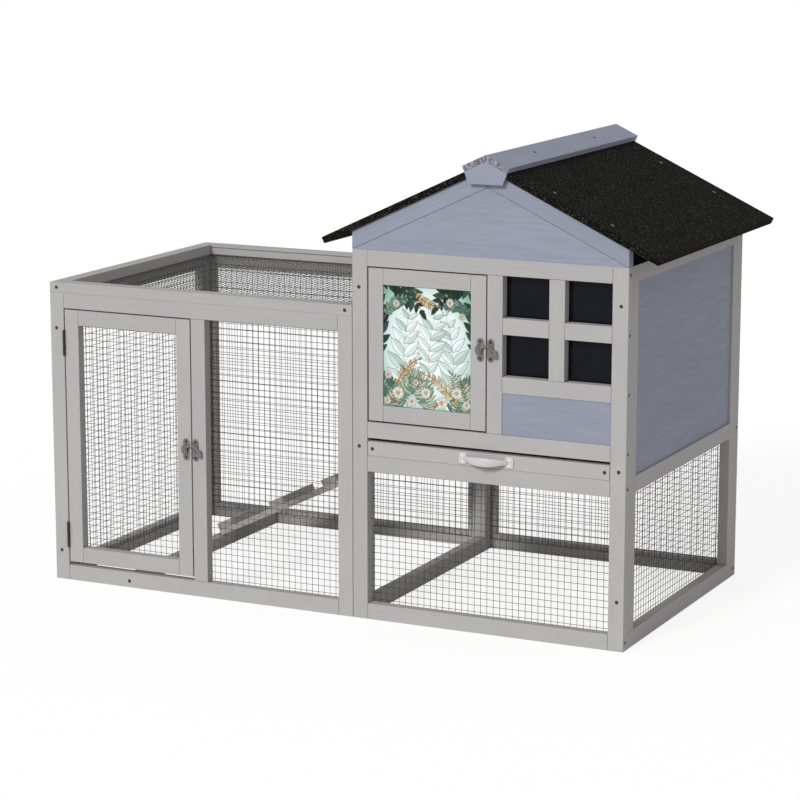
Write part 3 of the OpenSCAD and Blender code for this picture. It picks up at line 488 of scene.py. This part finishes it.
# %% Brown screws
brown_coat, tree, shader = start_finish("brown_coated_steel", "#5a4238", 0.5, Metallic=0.35)
where = add(tree, "TexCoord").outputs["Object"]
scuff = add(tree, "TexNoise", {"Scale": 1 / 0.0016, "Detail": 3.0}, {"Vector": where})
share = add(tree, "MapRange", {"From Min": 0.5, "From Max": 0.75, "To Max": 0.6}, {"Value": scuff})
colour = add(tree, "Mix", {"data_type": "RGBA", 6: light("#402f25"), 7: light("#6e5a4c")}, {0: share})
dress(shader, Base_Color=colour)
print("finish", brown_coat.name)

# %% [markdown]
# ## Timber pieces
# Every frame, bar, board and panel of wood now gets its eased copy, and so does the felt. Battens get 0.6
# mm, the ramp and its cleats twice as much, because claws wear them, and the thin panels and the plywood
# less.

# %% Timber
pieces = [
    (washed_fir, 0.0006, 2, """run_front_frame run_left_frame run_rear_frame run_top_frame run_floor_bar
        house_front_frame window_bars house_right_frame house_left_frame house_rear_frame tray_runners
        run_door_frame house_door_frame tray_front tray_box"""),
    (washed_fir, 0.0012, 3, "ramp_plank ramp_cleats"),
    (blue_paint, 0.0004, 2, """front_panel right_panel left_panel rear_panel front_gable rear_gable
        front_bargeboards rear_bargeboards"""),
    (ridge_paint, 0.0007, 2, "ridge_board_left ridge_board_right ridge_end_plates"),
    (plywood, 0.0003, 2, "tray_floor roof_board_left roof_board_right"),
    (roof_felt, 0.0008, 2, "roof_felt_left roof_felt_right"),
]
for material, width, steps, names in pieces:
    for node in names.split():
        eased(node, material, width, steps)

# %% [markdown]
# ## Hinges and latches
# The pressed plates, knuckles, rivets, studs and hooks keep their exact shapes, with each edge rolled by a
# quarter of a millimetre or less as a press and a plating drum leave them, and the hooks' more, because
# they are bent from thicker stock. Here the short edges round the curves are rolled as well.

# %% Hinges and latches
pieces = [
    (dark_steel, 0.00015, 2, "hinge_post_leaves hinge_door_leaves hinge_pins"),
    (zinc_plate, 0.00025, 2, "latch_keepers run_latch_plate house_latch_plate"),
    (zinc_plate, 0.0007, 3, "run_latch_hook house_latch_hook"),
    (zinc_plate, 0.0001, 1, "house_door_pivots"),
]
for material, width, steps, names in pieces:
    for node in names.split():
        eased(node, material, width, steps, shortest=0.0, small=60e-6)
print("metal pieces done")

# %% [markdown]
# ## Surfaces from grids
# New shapes are surfaces: a grid of points worked out at once with numpy, and a list of the four-sided
# faces between them. A grid can be closed round one way, as a tube is, and have its two ends drawn
# together, as a dome is.

# %% Grid surfaces
def grid_quads(rows, columns, closed):
    """Corner numbers of the faces of a grid. A closed grid's last column joins its first."""
    r, c = np.meshgrid(np.arange(rows - 1), np.arange(columns if closed else columns - 1), indexing="ij")
    right = (c + 1) % columns
    return np.stack([r * columns + c, r * columns + right, (r + 1) * columns + right, (r + 1) * columns + c],
                    -1).reshape(-1, 4)


def tube_faces(rows, columns, count=1):
    """Corner numbers of closed tubes, one tube after the other: their four-sided faces, then their caps."""
    caps = np.stack([np.arange(columns), np.arange(columns) + (rows - 1) * columns])
    shift = np.arange(count)[:, None, None] * rows * columns
    return [(grid_quads(rows, columns, True) + shift).reshape(-1, 4), (caps + shift).reshape(-1, columns)]


def together(shells):
    """Points and faces of several shells as one, each shell's numbers moved up by the points before it."""
    before = np.cumsum([0] + [len(points) for points, groups in shells])
    faces = [group + start for (points, groups), start in zip(shells, before) for group in groups]
    return np.concatenate([points for points, groups in shells]), faces


def build(name, points, faces):
    """A smooth mesh from points and arrays of faces, with its normals made to face outwards."""
    mesh = bpy.data.meshes.new(name)
    mesh.from_pydata(points.tolist(), [], [face for group in faces for face in group.tolist()])
    work = bmesh.new()
    work.from_mesh(mesh)
    bmesh.ops.remove_doubles(work, verts=work.verts, dist=1e-7)
    bmesh.ops.recalc_face_normals(work, faces=work.faces)
    work.to_mesh(mesh)
    work.free()
    mesh.polygons.foreach_set("use_smooth", np.ones(len(mesh.polygons), bool))
    mesh.update()
    return mesh


print("a tube of 3 rings of 4 points has", sum(map(len, tube_faces(3, 4))), "faces")

# %% [markdown]
# ## Half-inch welded mesh
# The mesh is two layers of straight wire, welded where they cross, every 12.7 mm. Each wire is a six-sided
# tube of 1 mm with a few bends, because mesh that came off a roll is never quite straight. Drawing it as a
# picture on a flat sheet would be lighter, but it would look like paper from the side and cast no true
# shadow. All the wires of one layer are worked out as a single array: wire number by step along the wire by
# point round the wire.

# %% Mesh
# Pitch of the mesh, thickness of a wire and its sway, in metres; steps along a wire and points round it.
PITCH, WIRE, SWAY = 0.0127, 0.001, 0.00025
STEPS, ROUND = 7, 6


def wire_layer(low, high, run, spread, thin, at, dice):
    """Wires that run along one axis and stand a pitch apart on another. Point: the wire's line, bent sideways
    by a sine of at most SWAY, plus a ring of the wire's radius round it."""
    wires = round((high[spread] - low[spread] - WIRE) / PITCH) + 1
    share = np.linspace(0, 1, STEPS)
    start = np.linspace(low[spread] + WIRE / 2, high[spread] - WIRE / 2, wires)
    inner = (np.arange(wires) % (wires - 1) > 0).astype(float)
    waves = share[None] * dice.uniform(0.7, 2.2, (wires, 1)) + dice.random((wires, 1))
    sway = SWAY * np.sin(2 * np.pi * waves)
    around = np.arange(ROUND) * 2 * np.pi / ROUND
    points = np.zeros((wires, STEPS, ROUND, 3))
    points[..., run] = (low[run] + share * (high[run] - low[run]))[None, :, None]
    points[..., spread] = (start[:, None] + sway * inner[:, None])[..., None] + WIRE / 2 * np.cos(around)
    points[..., thin] = at + WIRE / 2 * np.sin(around)
    return points.reshape(-1, 3), tube_faces(STEPS, ROUND, wires)


def welded_mesh(node):
    """The full mesh of one net, in the box of its solid. Wires spaced on one axis lie in the layer next to
    those spaced on the other, with their centres a wire apart."""
    low, high = np.array(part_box(node))
    thin = int(np.argmin(high - low))
    one, other = (axis for axis in range(3) if axis != thin)
    dice = np.random.default_rng(sum(node.encode()))
    near, far = low[thin] + WIRE / 2, high[thin] - WIRE / 2
    first, second = (near, far) if thin == 1 else (far, near)
    layers = [wire_layer(low, high, one, other, thin, first, dice),
              wire_layer(low, high, other, one, thin, second, dice)]
    mesh = build(node + "_wires", *together(layers))
    return shelve(mesh, dull_wire, node)


nets = [welded_mesh(node) for node in sorted(frame["nodes"]) if node.endswith("_net")]
print("mesh panels:", len(nets), "faces:", sum(len(o.data.polygons) for o in nets))

# %% [markdown]
# ## Staples
# The mesh is held to the inner faces of the battens by staples, about one in every 125 mm, each over a
# wire. A staple is a thin wire bent twice, so its surface is a five-sided ring carried along a flat path:
# up out of the wood, over the mesh and down again.

# %% Staples
# From staple to staple, from the mesh's edge to the staples, and half a staple's thickness, in metres.
EVERY, INSET, HALF_THICK = 0.125, 0.0045, 0.00045
# The path of a staple, in metres along the batten and out of the wood, and the points round its wire.
STAPLE = np.array([(-5, -4), (-5, 1.4), (-4.2, 2.5), (4.2, 2.5), (5, 1.4), (5, -4)]) / 1000
SIDES = 5


def staple_rows(node):
    """Seat of each staple on the wood, then the direction along the batten and the one out of the wood."""
    low, high = np.array(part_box(node))
    thin = int(np.argmin(high - low))
    inward = 1 if any(word in node for word in ("front", "left", "door")) else -1
    rows = []
    for along in (axis for axis in range(3) if axis != thin):
        across = 3 - thin - along
        span = high[along] - low[along]
        wires, count = round((span - WIRE) / PITCH), round(span / EVERY)
        share = np.round((np.arange(count) + 0.5) / count * wires) / wires
        for edge in (low[across] + INSET, high[across] - INSET):
            seat = np.zeros((count, 3))
            seat[:, along] = low[along] + WIRE / 2 + share * (span - WIRE)
            seat[:, across] = edge
            seat[:, thin] = low[thin] if inward > 0 else high[thin]
            ways = np.eye(3)[[along] * count], inward * np.eye(3)[[thin] * count]
            rows.append(np.concatenate([seat, *ways], 1))
    return np.concatenate(rows)


def staples(name, rows, node):
    """All staples at once, which ride with a node. Point: path point, plus a ring in the path's normal and
    the third axis."""
    seat, along, out = (rows[:, None, None, k:k + 3] for k in (0, 3, 6))
    ahead = np.gradient(STAPLE, axis=0)
    ahead /= np.linalg.norm(ahead, axis=1)[:, None]
    angle = np.arange(SIDES) * 2 * np.pi / SIDES
    forward = STAPLE[:, :1] - HALF_THICK * np.cos(angle) * ahead[:, 1:]
    upward = STAPLE[:, 1:] + HALF_THICK * np.cos(angle) * ahead[:, :1]
    side = np.cross(along, out) * (HALF_THICK * np.sin(angle))[None, None, :, None]
    points = seat + forward[None, :, :, None] * along + upward[None, :, :, None] * out + side
    mesh = build(name, points.reshape(-1, 3), tube_faces(len(STAPLE), SIDES, len(rows)))
    return shelve(mesh, zinc_plate, node, stands=False)


fixed_nets = [node for node in sorted(frame["nodes"]) if node.endswith("_net") and body_of[node] == "cage"]
fixed_rows = np.concatenate([staple_rows(node) for node in fixed_nets])
door_rows = staple_rows("run_door_net")
staples("net_staples", fixed_rows, fixed_nets[0])
staples("run_door_staples", door_rows, "run_door_net")
print("staples:", len(fixed_rows), "on the walls,", len(door_rows), "on the run door")

# %% [markdown]
# ## Screw and nail heads
# A screw is a shape turned on a lathe, with a crossed recess pressed into its crown. The profile gives
# radius and height from the crown over the rim, under the head and down the shank to the point, and the
# crown is lowered inside two crossed slots. Each screw is the same surface, moved to its place and turned
# at random, because nobody lines screws up. Its place comes from the solid, whose longest direction is the
# axis and whose wider end is the head.

# %% Where the screws are
# Points this near to the highest one, in metres, are on the same end.
LEVEL = 1e-5


def fastener_places(node):
    """Centre of each head's top, direction out of the wood, head radius and length, a row for each solid."""
    work = joined(node)
    mesh = bpy.data.meshes.new("scratch")
    work.to_mesh(mesh)
    work.free()
    points, part = numbers(mesh.vertices, "co", 3), loose_parts(mesh)
    rows = []
    for k in range(part.max() + 1):
        mine = points[part == k]
        middle = mine.mean(0)
        axis = np.linalg.svd(mine - middle, full_matrices=False)[2][0]
        height = (mine - middle) @ axis
        top, bottom = mine[height > height.max() - LEVEL], mine[height < height.min() + LEVEL]
        if np.ptp(top, 0).max() < np.ptp(bottom, 0).max():
            axis, top = -axis, bottom
        across = np.linalg.svd(top - top.mean(0))[2][0]
        rows.append((*(top.min(0) + top.max(0)) / 2, *axis, np.ptp(top @ across) / 2, np.ptp(height)))
    bpy.data.meshes.remove(mesh)
    return np.array(rows)


print("frame screws:", len(fastener_places("frame_screws")))

# %% Turned screws
# Height of a crown over its rim in metres, and points round a ring. The rest are shares of the head's radius.
RISE, TURNS = 0.0008, 24
CROWN, SHANK, POINT = np.array([0.02, 0.12, 0.24, 0.36, 0.48, 0.58, 0.68, 0.8, 0.92, 1.0]), 0.42, 0.02
# Where a slot's flank ends across it and along it, and the flanks' widths.
SLOT_WIDE, SLOT_LONG, FLANK_WIDE, FLANK_LONG = 0.17, 0.66, 0.08, 0.1


def turned(name, rows, material, node, recess=True):
    """Screws or nails at all rows at once. Crown height: RISE * (1 - (r / R)^2.6). Slots: two crossed bands
    whose floor is 0.18 R wide, 0.85 RISE below the crown, and whose flanks rise over 0.08 R on both sides."""
    count = len(rows)
    angle = np.arange(TURNS) * 2 * np.pi / TURNS
    spin = np.random.default_rng(count).uniform(0, np.pi, count)[:, None, None]
    centre, out, radius, length = rows[:, :3], rows[:, 3:6], rows[:, 6], rows[:, 7]
    side = np.cross(out, np.where(np.abs(out[:, :1]) > 0.8, [0, 1.0, 0], [1.0, 0, 0]))
    side /= np.linalg.norm(side, axis=1)[:, None]
    other = np.cross(out, side)
    profile = np.concatenate([CROWN, [1.0, SHANK, SHANK, POINT]])
    reach = profile[None, :, None] * radius[:, None, None] * np.ones(TURNS)
    top = RISE * (1 - CROWN ** 2.6)[None, :, None] * np.ones((count, 1, TURNS))
    if recess:
        x, y = CROWN[:, None] * np.cos(angle), CROWN[:, None] * np.sin(angle)
        arm = np.minimum(np.abs(x), np.abs(y))
        inside = np.clip((SLOT_WIDE - arm) / FLANK_WIDE, 0, 1)
        inside = inside * np.clip((SLOT_LONG - CROWN[:, None]) / FLANK_LONG, 0, 1)
        top = top - 0.85 * RISE * inside[None]
    down = np.stack([np.zeros(count), np.zeros(count), -(length - RISE) * 0.8, -(length - RISE)], 1)
    height = np.concatenate([top, down[:, :, None] * np.ones(TURNS)], 1) - RISE
    turn = angle[None, None] + spin
    points = (centre[:, None, None] + (reach * np.cos(turn))[..., None] * side[:, None, None]
              + (reach * np.sin(turn))[..., None] * other[:, None, None]
              + height[..., None] * out[:, None, None])
    mesh = build(name, points.reshape(-1, 3), tube_faces(len(profile), TURNS, count))
    return shelve(mesh, material, node)


for node in ["frame_screws", "ridge_screws", "keeper_screws", "run_latch_screws", "house_latch_screws"]:
    rows = fastener_places(node)
    turned(node + "_crossed", rows, brown_coat, node)
    print(node, len(rows))

# %% Nails and the tray's screws
# Heads below this radius, in metres, hold the handle.
HANDLE_HEAD = 0.003

turned("felt_nails_turned", fastener_places("felt_nails"), zinc_plate, "felt_nails", recess=False)
rows = fastener_places("tray_screws")
small = rows[:, 6] < HANDLE_HEAD
turned("tray_screws_crossed", rows[~small], brown_coat, "tray_screws")
bright_zinc = clouded("bright_zinc", "#f6f6f4", 0.28, 0.0008, 2.0, None, (0.18, 0.42), Metallic=0.2)[0]
turned("handle_screws_crossed", rows[small], bright_zinc, "tray_screws")
print("tray screws", len(rows))

# %% [markdown]
# ## Tray handle
# The handle is one moulding of pale plastic: a leaf-shaped grip that bows out from two pads, each held by
# two bright screws. Its middle line is an arc and its section an oval, tall in the middle and short at the
# ends. It flares where it runs into the pads, because a mould can't make a sharp inner corner. Each pad is
# a dome over a rounded oblong, worked out ring by ring from its crown to its rim.

# %% Grip
# In metres: the grip's length, its height in the middle and at its ends, its thickness and its flare.
GRIP, TALL, SHORT, THICK, FLARE = 0.087, 0.0165, 0.0065, 0.005, 0.0011
# How far the flare reaches along the arc, in radians.
FLARE_TURN = 0.13
# Points along the grip and round it, and the power that makes its oval a little squarer.
ALONG, AROUND, SQUARE = 61, 32, 0.8


def power(values, exponent):
    """Sign of a value times its size to a power, which turns a circle's sine into a superellipse's."""
    return np.sign(values) * np.abs(values) ** exponent


def grip(centre, out):
    """Radius of the bow: (chord^2 / 4 + out^2) / (2 out). Half height: that of two such arcs over the same
    chord, plus the flare, which grows with the square of the share of its reach."""
    bow, drop = (GRIP ** 2 / 4 + out ** 2) / (2 * out), (TALL - SHORT) / 2
    side = (GRIP ** 2 / 4 + drop ** 2) / (2 * drop)
    end = math.acos((bow - out + 0.001) / (bow - THICK / 2))
    turn = np.linspace(-end, end, ALONG)[:, None]
    around = (np.arange(AROUND) * 2 * np.pi / AROUND)[None]
    flare = FLARE * np.clip((np.abs(turn) - end + FLARE_TURN) / FLARE_TURN, 0, 1) ** 2
    half = TALL / 2 - side + np.sqrt(side ** 2 - ((bow - THICK / 2) * np.sin(turn)) ** 2) + flare
    radius = bow - THICK / 2 + (THICK / 2 + flare) * power(np.sin(around), SQUARE)
    x, y = radius * np.sin(turn), np.minimum(bow - out - radius * np.cos(turn), -0.0003)
    points = np.stack([x, y, half * power(np.cos(around), SQUARE)], -1) + centre
    return points.reshape(-1, 3), tube_faces(ALONG, AROUND)


print("grip", GRIP, "m long")

# %% Pads
# Height of a pad and half its width in metres, its rings and the points on each.
PAD, PAD_HALF, RINGS, CORNERS = 0.0025, 0.008, 12, 48
# The powers that round the oblong's corners and the dome's rim, and the upright share of its height.
OBLONG, DOME, UPRIGHT = 6, 0.4, 0.35


def pad(centre, half_x, half_z):
    """Rings of radius share r from crown to rim. Outline: (|cos a / half_x|^6 + |sin a / half_z|^6)^(-1/6).
    Height: PAD * (0.35 + 0.65 (1 - r^6)^0.4), and a last ring on the wood."""
    r = np.append(np.sin(np.linspace(0.05, 1, RINGS) * np.pi / 2), 1.0)[:, None]
    a = (np.arange(CORNERS) * 2 * np.pi / CORNERS)[None]
    outline = (np.abs(np.cos(a) / half_x) ** OBLONG + np.abs(np.sin(a) / half_z) ** OBLONG) ** (-1 / OBLONG)
    height = PAD * (UPRIGHT + (1 - UPRIGHT) * (1 - r ** OBLONG) ** DOME)
    height[-1] = 0
    x, y, z = r * outline * np.cos(a), -height * np.ones(CORNERS), r * outline * np.sin(a)
    return (np.stack([x, y, z], -1) + centre).reshape(-1, 3), tube_faces(RINGS + 1, CORNERS)


print("pads", PAD, "m high")

# %% Handle
pale_plastic, tree, shader, skin = clouded("pale_plastic", "#cacaca", 0.42, 0.0015, 2.0, None, (0.34, 0.5))
bump = add(tree, "Bump", {"Strength": 0.15, "Distance": 0.0001}, {"Height": skin})
dress(shader, Normal=bump)
low, high = np.array(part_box("tray_handle"))
foot = high[2] - low[2]
at = np.array([(low[0] + high[0]) / 2, high[1], (low[2] + high[2]) / 2])
away = np.array([(high[0] - low[0]) / 2 - PAD_HALF, 0, 0])
shells = [grip(at, high[1] - low[1]), pad(at - away, PAD_HALF, foot / 2), pad(at + away, PAD_HALF, foot / 2)]
moulded = build("tray_handle_moulded", *together(shells))
shelve(moulded, pale_plastic, "tray_handle")
print("handle faces:", len(moulded.polygons))

# %% [markdown]
# ## Window pane
# Behind the window bars stands a sheet of dark acrylic. It is nearly black with a blue cast and glossy, and
# real cast sheet is never quite flat, so a very slow bump lets reflections wander. Clouds of two dark tones
# are painted reflection: they make parts of the sheet read lighter.

# %% Window pane
dark_pane, tree, shader = start_finish("dark_acrylic", "#101216", 0.2, IOR=1.49, Specular_IOR_Level=0.12)
where = add(tree, "TexCoord").outputs["Object"]
wave = add(tree, "TexNoise", {"Scale": 1 / 0.09, "Detail": 1.0}, {"Vector": where})
# Painted reflection: clouds about 30 mm across mix two dark tones, so parts of the pane read lighter, as if
# they reflected more.
dust_and_reflection = add(tree, "TexNoise", {"Scale": 1 / 0.03, "Detail": 4.0}, {"Vector": where})
colour = add(tree, "Mix", {"data_type": "RGBA", 6: light("#0a0b0f"), 7: light("#14161c")}, {0: dust_and_reflection})
bump = add(tree, "Bump", {"Strength": 0.3, "Distance": 0.0008}, {"Height": wave})
dress(shader, Base_Color=colour, Normal=bump)
eased("window_pane", dark_pane, 0.0003)
print("pane done")

# %% [markdown]
# ## Printed door panel
# The house door holds a thin board with a printed picture under satin varnish: leaves, ferns and daisies in
# muted teal-greens, cream and light brown, round a mint glow. Its sides and its back are bare board. The
# picture is drawn as a designer cuts paper. Each motif is a leaf whose outline is half a sine wave, with a
# rib, side veins and a darker rim, and it is laid over what is already there. A fern, a bough and a daisy
# are only leaves in different orders, so a few short functions paint them all. Each colour goes to a point
# of a fine grid, 0.75 mm apart, which stands for the printer's dots.

# %% Leaves and spots
def patch(page, at, reach):
    """The part of the page within reach of a point: offsets across and up in mm, and the colours there."""
    x, y, rgb = page
    rows = slice(*np.searchsorted(y[:, 0], [at[1] - reach, at[1] + reach]))
    columns = slice(*np.searchsorted(x[0], [at[0] - reach, at[0] + reach]))
    return x[rows, columns] - at[0], y[rows, columns] - at[1], rgb[rows, columns]


def leaf(page, at, angle, long, wide, colour, vein=0.16):
    """A leaf or petal from a point. Inside where |across| < wide / 2 * sin(pi * u^0.8), u the share along."""
    right, up, under = patch(page, at, long)
    along = right * math.cos(angle) + up * math.sin(angle)
    across = up * math.cos(angle) - right * math.sin(angle)
    u = np.clip(along / long, 0, 1)
    edge = wide / 2 * np.sin(np.pi * u ** 0.8) - np.abs(across)
    cover = np.clip(edge / 0.8 + 0.5, 0, 1) * (u > 0) * (u < 1)
    ribs = np.sin((along - np.abs(across)) * 2.2) > 0.75
    tone = 1 + 0.05 * np.sign(across) - vein * np.exp(-(across / 0.5) ** 2)
    tone = tone - 0.3 * vein * ribs - 2.6 * vein * (edge < 0.9)
    under += cover[..., None] * (tone[..., None] * colour - under)


def disc(page, at, radius, colour):
    """A round spot: inside where the distance from its centre is below the radius, with a darker rim."""
    right, up, under = patch(page, at, radius + 1)
    edge = radius - np.hypot(right, up)
    tone = 1 - 0.2 * (edge < 0.8) + 0.08 * np.sin(4 * right) * np.sin(4 * up)
    under += np.clip(edge / 0.8 + 0.5, 0, 1)[..., None] * (tone[..., None] * colour - under)


print("a leaf is widest at", round(0.5 ** (1 / 0.8), 2), "of its length")

# %% Sprays and daisies
PETALS = 13


def spray(page, dice, at, angle, long, curl, pairs, size, slim, spread, stem, tints):
    """A stem, an arc that turns by curl in all, with pairs of leaves. At share s of the stem a leaf is
    size * sin(pi * (0.2 + 0.72 s)) long, and slim is its width as a share of that."""
    share = np.linspace(0.06, 1, pairs)
    heading = angle + curl * share
    x = at[0] + long / curl * (np.sin(heading) - math.sin(angle))
    y = at[1] - long / curl * (np.cos(heading) - math.cos(angle))
    for k in range(pairs):
        leaf(page, (x[k], y[k]), heading[k] + math.pi, 1.7 * long / pairs, 2.4, srgb(stem), 0)
    for k in range(pairs):
        length = size * math.sin(math.pi * (0.2 + 0.72 * share[k]))
        for side in (-1, 1):
            turn = heading[k] + side * spread + dice.uniform(-0.12, 0.12)
            leaf(page, (x[k], y[k]), turn, length, slim * length, srgb(tints[dice.integers(len(tints))]))
    leaf(page, (x[-1], y[-1]), heading[-1], 0.6 * size, slim * 0.6 * size, srgb(tints[0]))


def daisy(page, dice, at, radius):
    """Cream petals of slightly uneven length round a light brown eye."""
    for k in range(PETALS):
        angle = 2 * math.pi * k / PETALS + dice.uniform(-0.08, 0.08)
        leaf(page, at, angle, radius * dice.uniform(0.9, 1.05), 0.42 * radius, srgb("#fdfaf0"), 0.12)
    disc(page, at, 0.27 * radius, srgb("#c9a56e"))


print("petals of a daisy:", PETALS)

# %% The design
MIST, DEEP = ["#dcebe6", "#c3dad2", "#ebf5f2"], ["#24402f", "#335245", "#1b3128"]
GREEN, MOSS, TAN = ["#56786a", "#769786"], ["#9fb396", "#c3cfb0", "#7f9c88"], ["#c8ae84", "#e0cba4"]
# The sprays from the back to the front: foot, heading, length, curl, pairs of leaves, size of a leaf, its
# slimness, spread, stem and tints. Lengths are in mm and angles in radians.
SPRAYS = [
    (52, -10, 1.8, 200, -0.5, 9, 46, 0.42, 0.8, "#c3d8d0", MIST),
    (132, -12, 1.35, 190, 0.5, 9, 44, 0.42, 0.8, "#c3d8d0", MIST),
    (92, 60, 1.6, 130, -0.3, 7, 40, 0.4, 0.85, "#cfe1db", MIST),
    (-12, 90, 1.45, 160, 0.6, 10, 36, 0.44, 0.85, "#33503f", DEEP),
    (-8, 240, -0.2, 104, -0.8, 8, 36, 0.46, 0.8, "#6b5844", DEEP),
    (188, 242, 3.3, 96, 0.8, 8, 36, 0.46, 0.8, "#6b5844", DEEP),
    (190, 104, 1.7, 160, -0.5, 10, 36, 0.44, 0.85, "#33503f", DEEP),
    (4, 168, 1.1, 62, -0.9, 8, 19, 0.5, 0.8, "#6b5844", GREEN),
    (176, 182, 2.5, 60, 0.9, 8, 18, 0.5, 0.8, "#6b5844", GREEN),
    (36, -6, 1.9, 96, 0.9, 17, 26, 0.26, 1.1, "#6f917f", GREEN),
    (96, -8, 1.75, 98, 0.8, 19, 26, 0.24, 1.15, "#8ba596", MOSS),
    (138, -8, 1.25, 104, -0.8, 19, 27, 0.24, 1.15, "#6f917f", GREEN),
    (170, -8, 1.5, 84, 0.9, 15, 24, 0.26, 1.1, "#8ba596", MOSS),
    (12, -8, 1.3, 92, -1.1, 16, 25, 0.26, 1.1, "#8ba596", MOSS),
    (66, 214, -0.9, 46, 0.8, 7, 14, 0.55, 0.75, "#8f7a5c", TAN),
    (150, 10, 2.1, 88, 0.7, 8, 18, 0.55, 0.75, "#8f7a5c", TAN),
    (26, 40, 1.2, 70, -0.7, 7, 15, 0.55, 0.75, "#8f7a5c", TAN),
]
# Place and radius of each daisy in mm, then the places of the berries.
DAISIES = [(30, 26, 14), (58, 12, 11), (86, 30, 12.5), (118, 14, 13.5), (148, 34, 13), (168, 14, 10),
           (10, 58, 9), (134, 200, 10), (158, 176, 8), (26, 192, 9), (66, 48, 8), (112, 52, 7.5), (8, 10, 9)]
BERRIES = [(20, 8), (25, 11), (16, 14), (104, 6), (109, 10), (160, 50), (165, 46)]
SEEDS = 26


def leaf_print(wide, high, step):
    """Places of the printed sheet's points in mm, row by row from the bottom, and their colours as sRGB."""
    x, y = np.meshgrid(*(np.linspace(0, size, round(size / step) + 1) for size in (wide, high)))
    away = np.clip(np.hypot((x / wide - 0.5) / 0.66, (y / high - 0.52) / 0.66), 0, 1)[..., None]
    rgb = srgb("#fdfffd") + (srgb("#e3f3f0") - srgb("#fdfffd")) * np.clip(away / 0.6, 0, 1) ** 1.5
    rgb = rgb + (srgb("#7ea796") - rgb) * np.clip((away - 0.6) / 0.4, 0, 1) ** 1.3
    page, dice = (x, y, rgb), np.random.default_rng(11)
    for foot_x, foot_y, *rest in SPRAYS:
        spray(page, dice, (foot_x, foot_y), *rest)
    for middle_x, middle_y, radius in DAISIES:
        daisy(page, dice, (middle_x, middle_y), radius)
    for place in dice.uniform((6, 40), (wide - 6, high - 30), (SEEDS, 2)):
        disc(page, place, dice.uniform(0.9, 1.7), srgb("#e9dcb6"))
    for place in BERRIES:
        disc(page, place, 2.4, srgb("#b8603f"))
    return x, y, np.clip(rgb, 0, 1)


print("sprays:", len(SPRAYS), "daisies:", len(DAISIES), "berries:", len(BERRIES))

# %% Printed panel
# Step of the grid in mm. In metres, how far its outer ring is set back and how deep the first side ring lies.
DOT, SET_BACK, SIDE = 0.75, 0.0003, 0.0009


def panel_mesh(node):
    """Front grid with its outer ring set back a little, then two rings down the sides and one back face."""
    low, high = np.array(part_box(node))
    x, y, rgb = leaf_print(1000 * (high[0] - low[0]), 1000 * (high[2] - low[2]), DOT)
    rows, columns = x.shape
    front = np.stack([low[0] + x / 1000, np.full_like(x, low[1]), low[2] + y / 1000], -1)
    front[[0, -1], :, 1] += SET_BACK
    front[1:-1, [0, -1], 1] += SET_BACK
    number = np.arange(rows * columns).reshape(rows, columns)
    ring = np.concatenate([number[0], number[1:, -1], number[-1, -2::-1], number[-2:0:-1, 0]])
    side, back = front.reshape(-1, 3)[ring], front.reshape(-1, 3)[ring]
    side[:, 1], back[:, 1] = low[1] + SIDE, high[1]
    points = np.concatenate([front.reshape(-1, 3), side, back])
    after = rows * columns + np.arange(len(ring))
    loops = np.stack([ring, after, after + len(ring)])
    ahead = np.roll(loops, -1, 1)
    walls = [np.stack([loops[k], ahead[k], ahead[k + 1], loops[k + 1]], -1) for k in (0, 1)]
    mesh = build(node + "_printed", points, [grid_quads(rows, columns, False), *walls, loops[2:]])
    mesh.polygons.foreach_set("use_smooth", numbers(mesh.polygons, "normal", 3)[:, 1] < -0.5)
    bare = (np.arange(len(points)) >= rows * columns).astype(np.float32)
    colours = np.ones((len(points), 4), np.float32)
    colours[:rows * columns, :3] = to_linear(rgb.reshape(-1, 3))
    mesh.color_attributes.new("print", "FLOAT_COLOR", "POINT").data.foreach_set("color", colours.ravel())
    mesh.attributes.new("bare", "FLOAT", "POINT").data.foreach_set("value", bare)
    return mesh


panel = panel_mesh("door_picture_panel")
print("panel faces:", len(panel.polygons))

# %% Print, varnish and bare board
# In metres along x, y and z: the paper's fibres, and the veneer's figure.
FIBRE, FIGURE = (0.0004, 0.0004, 0.004), (0.025, 0.025, 0.25)

sheen = {"Specular_IOR_Level": 0.15}
printed_sheet, tree, shader = start_finish("printed_varnished_sheet", "#86ab98", 0.45, **sheen)
ink = add(tree, "Attribute", {"attribute_name": "print"}).outputs["Color"]
where = add(tree, "TexCoord").outputs["Object"]
fibre_place = add(tree, "Mapping", {"Scale": [1 / size for size in FIBRE]}, {"Vector": where})
fibre = add(tree, "TexNoise", {"Scale": 1.0, "Detail": 2.0}, {"Vector": fibre_place})
figure_place = add(tree, "Mapping", {"Scale": [1 / size for size in FIGURE]}, {"Vector": where})
figure = add(tree, "TexNoise", {"Scale": 1.0, "Detail": 4.0, "Distortion": 0.6}, {"Vector": figure_place})
board = add(tree, "Mix", {"data_type": "RGBA", 6: light("#b79c76"), 7: light("#8d7252")}, {0: figure})
bare = add(tree, "Attribute", {"attribute_name": "bare"}).outputs["Fac"]
sheet = add(tree, "Mix", {"data_type": "RGBA"}, {0: bare, 6: ink, 7: board})
lift = add(tree, "MapRange", {"To Min": 0.96, "To Max": 1.04}, {"Value": fibre})
inked = add(tree, "VectorMath", {"operation": "SCALE"}, {0: sheet, "Scale": lift})
rough = add(tree, "MapRange", {"To Min": 0.38, "To Max": 0.55}, {"Value": fibre})
dress(shader, Base_Color=inked, Roughness=rough)
shelve(panel, printed_sheet, "door_picture_panel")
print("finish", printed_sheet.name)
